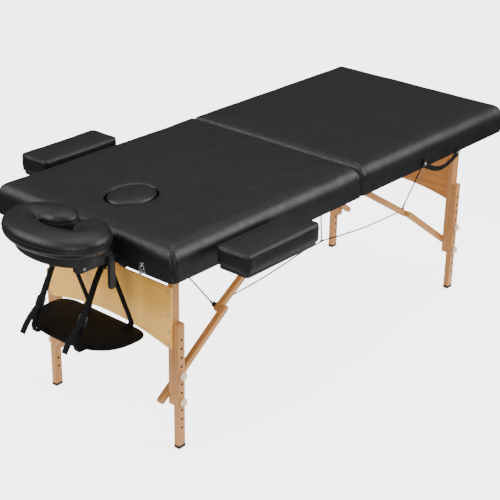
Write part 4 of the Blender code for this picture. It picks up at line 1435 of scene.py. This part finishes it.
def cradle_fittings():
    """Bracket screws and the boss of the cam lever."""
    low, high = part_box("cradle_bracket")
    bm = bmesh.new()
    middle_z = (low.z + high.z) / 2
    fastener(bm, (low.x + 0.020, low.y, middle_z), (0, -1, 0), 0.0050)
    for x in (low.x + 0.020, low.x + 0.075):
        fastener(bm, (x, high.y, middle_z), (0, 1, 0), 0.0050)
    piece("cradle_bracket_screws", bm, "steel", "cradle_carrier")
    lever_low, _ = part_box("cradle_lever")
    pin = JOINTS["cradle_lever_turn"]["pos_m"]
    bm = bmesh.new()
    lathe(bm, [(0.0085, 0.0), (0.0085, 0.0020), (0.0070, 0.0034), (0.0040, 0.0036)],
          (pin[0], lever_low.y, pin[2] - 0.006), (0, -1, 0), 28)
    piece("cradle_lever_boss", bm, "black_plastic", "cradle_lock")


def hinge_screws():
    """Countersunk screws along both leaves of the centre hinge."""
    for half, sx in HALVES.items():
        low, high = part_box(half + "_hinge_leaf")
        leaf_x = low.x + 0.010 if sx < 0 else high.x - 0.010
        bm = bmesh.new()
        bottom = JOINTS["centre_fold"]["pos_m"][2] + 0.0020
        for k in range(10):
            y = low.y + 0.035 + (high.y - low.y - 0.070) * k / 9
            fastener(bm, (leaf_x, y, bottom), (0, 0, -1), 0.0028)
        piece(half + "_hinge_screws", bm, "steel", half + "_half")


def fittings():
    """Boards, metal and webbing, and the CAD nodes that keep their shape."""
    for side in SIDES:
        soften(side + "_armrest_board", "black_board", 0.0010)
    cradle_platform()
    soften("cradle_bracket", "black_board", 0.0016, 3)
    soften("cradle_lever", "black_plastic", 0.0022, 3)
    panel_screws()
    brace_pins()
    cables()
    shelf_straps()
    carry_handle()
    latch()
    cradle_fittings()
    hinge_screws()
    for half in HALVES:
        for part, mat in (("deck", "deck"), ("leg_rod", "steel"), ("hinge_leaf", "steel")):
            repaint(NODES[half + "_" + part].data, mat)


# ---------------------------------------------------------------- studio

def camera():
    data = bpy.data.cameras.new("camera")
    data.lens = CAMERA_LENS
    data.sensor_width = 36.0
    data.clip_end = 60.0
    obj = place_in_scene("camera", data)
    back = Vector((math.sin(CAMERA_TURN) * math.cos(CAMERA_RISE),
                   -math.cos(CAMERA_TURN) * math.cos(CAMERA_RISE), math.sin(CAMERA_RISE)))
    right = Vector((0, 0, 1)).cross(back).normalized()
    up = back.cross(right)
    c, s = math.cos(CAMERA_ROLL), math.sin(CAMERA_ROLL)
    matrix = Matrix((right * c + up * s, up * c - right * s, back)).transposed().to_4x4()
    matrix.translation = CAMERA_SPOT
    obj.matrix_world = matrix
    bpy.context.scene.camera = obj


def softbox(name, spot, size, energy):
    data = bpy.data.lights.new(name, "AREA")
    data.shape = "RECTANGLE"
    data.size, data.size_y = size
    data.energy = energy
    obj = place_in_scene(name, data)
    obj.location = spot
    obj.rotation_euler = (Vector(LIGHT_TARGET) - Vector(spot)).to_track_quat("-Z", "Y").to_euler()


def world():
    """White behind the object, dimmer for the light and the reflections."""
    space = bpy.data.worlds.new("studio")
    space.use_nodes = True
    tree = space.node_tree
    tree.nodes.clear()
    output = tree.nodes.new("ShaderNodeOutputWorld")
    mix = tree.nodes.new("ShaderNodeMixShader")
    path = tree.nodes.new("ShaderNodeLightPath")
    lit, seen = (tree.nodes.new("ShaderNodeBackground") for _ in range(2))
    direction = tree.nodes.new("ShaderNodeTexCoord")
    split = tree.nodes.new("ShaderNodeSeparateXYZ")
    rise = tree.nodes.new("ShaderNodeMapRange")
    for socket, number in (("From Min", 0.25), ("From Max", 0.95), ("To Min", 0.10), ("To Max", 0.70)):
        rise.inputs[socket].default_value = number
    tree.links.new(direction.outputs["Generated"], split.inputs["Vector"])
    tree.links.new(split.outputs["Z"], rise.inputs["Value"])
    tree.links.new(rise.outputs["Result"], lit.inputs["Strength"])
    for background in (lit, seen):
        background.inputs["Color"].default_value = (1.0, 1.0, 1.0, 1.0)
    seen.inputs["Strength"].default_value = BACKDROP_GLOW
    tree.links.new(path.outputs["Is Camera Ray"], mix.inputs[0])
    tree.links.new(lit.outputs[0], mix.inputs[1])
    tree.links.new(seen.outputs[0], mix.inputs[2])
    tree.links.new(mix.outputs[0], output.inputs["Surface"])
    bpy.context.scene.world = space


def floor():
    """Pale floor that fades into the white surround beyond the table."""
    look = Look("studio_floor", (0.92, 0.92, 0.92), Roughness=0.8, Specular_IOR_Level=0.1,
                Emission_Color=(1.0, 1.0, 1.0, 1.0))
    look.paint(look.ramp(look.noise(look.place, 3.0), ((0.3, (0.91, 0.91, 0.91)), (0.7, (0.94, 0.94, 0.94)))))
    away = look.tree.nodes.new("ShaderNodeVectorMath")
    away.operation = "LENGTH"
    look.wire(look.place, away.inputs[0])
    look.wire(look.span(away.outputs["Value"], *FLOOR_FADE, 1.0, 0.0), look.bsdf.inputs["Alpha"])
    seen = look.tree.nodes.new("ShaderNodeLightPath")
    glow = look.math("MULTIPLY", seen.outputs["Is Camera Ray"], FLOOR_GLOW)
    look.wire(glow, look.bsdf.inputs["Emission Strength"])
    bm = bmesh.new()
    bmesh.ops.create_circle(bm, cap_ends=True, segments=96, radius=FLOOR_FADE[1])
    bmesh.ops.translate(bm, vec=(0, 0, -0.0005), verts=bm.verts)
    mesh = bpy.data.meshes.new("floor")
    bm.to_mesh(mesh)
    bm.free()
    mesh.materials.append(look.mat)
    place_in_scene("floor", mesh)


def studio():
    camera()
    world()
    floor()
    for light in SOFTBOXES:
        softbox(*light)


upholstery()
woodwork()
fittings()
studio()
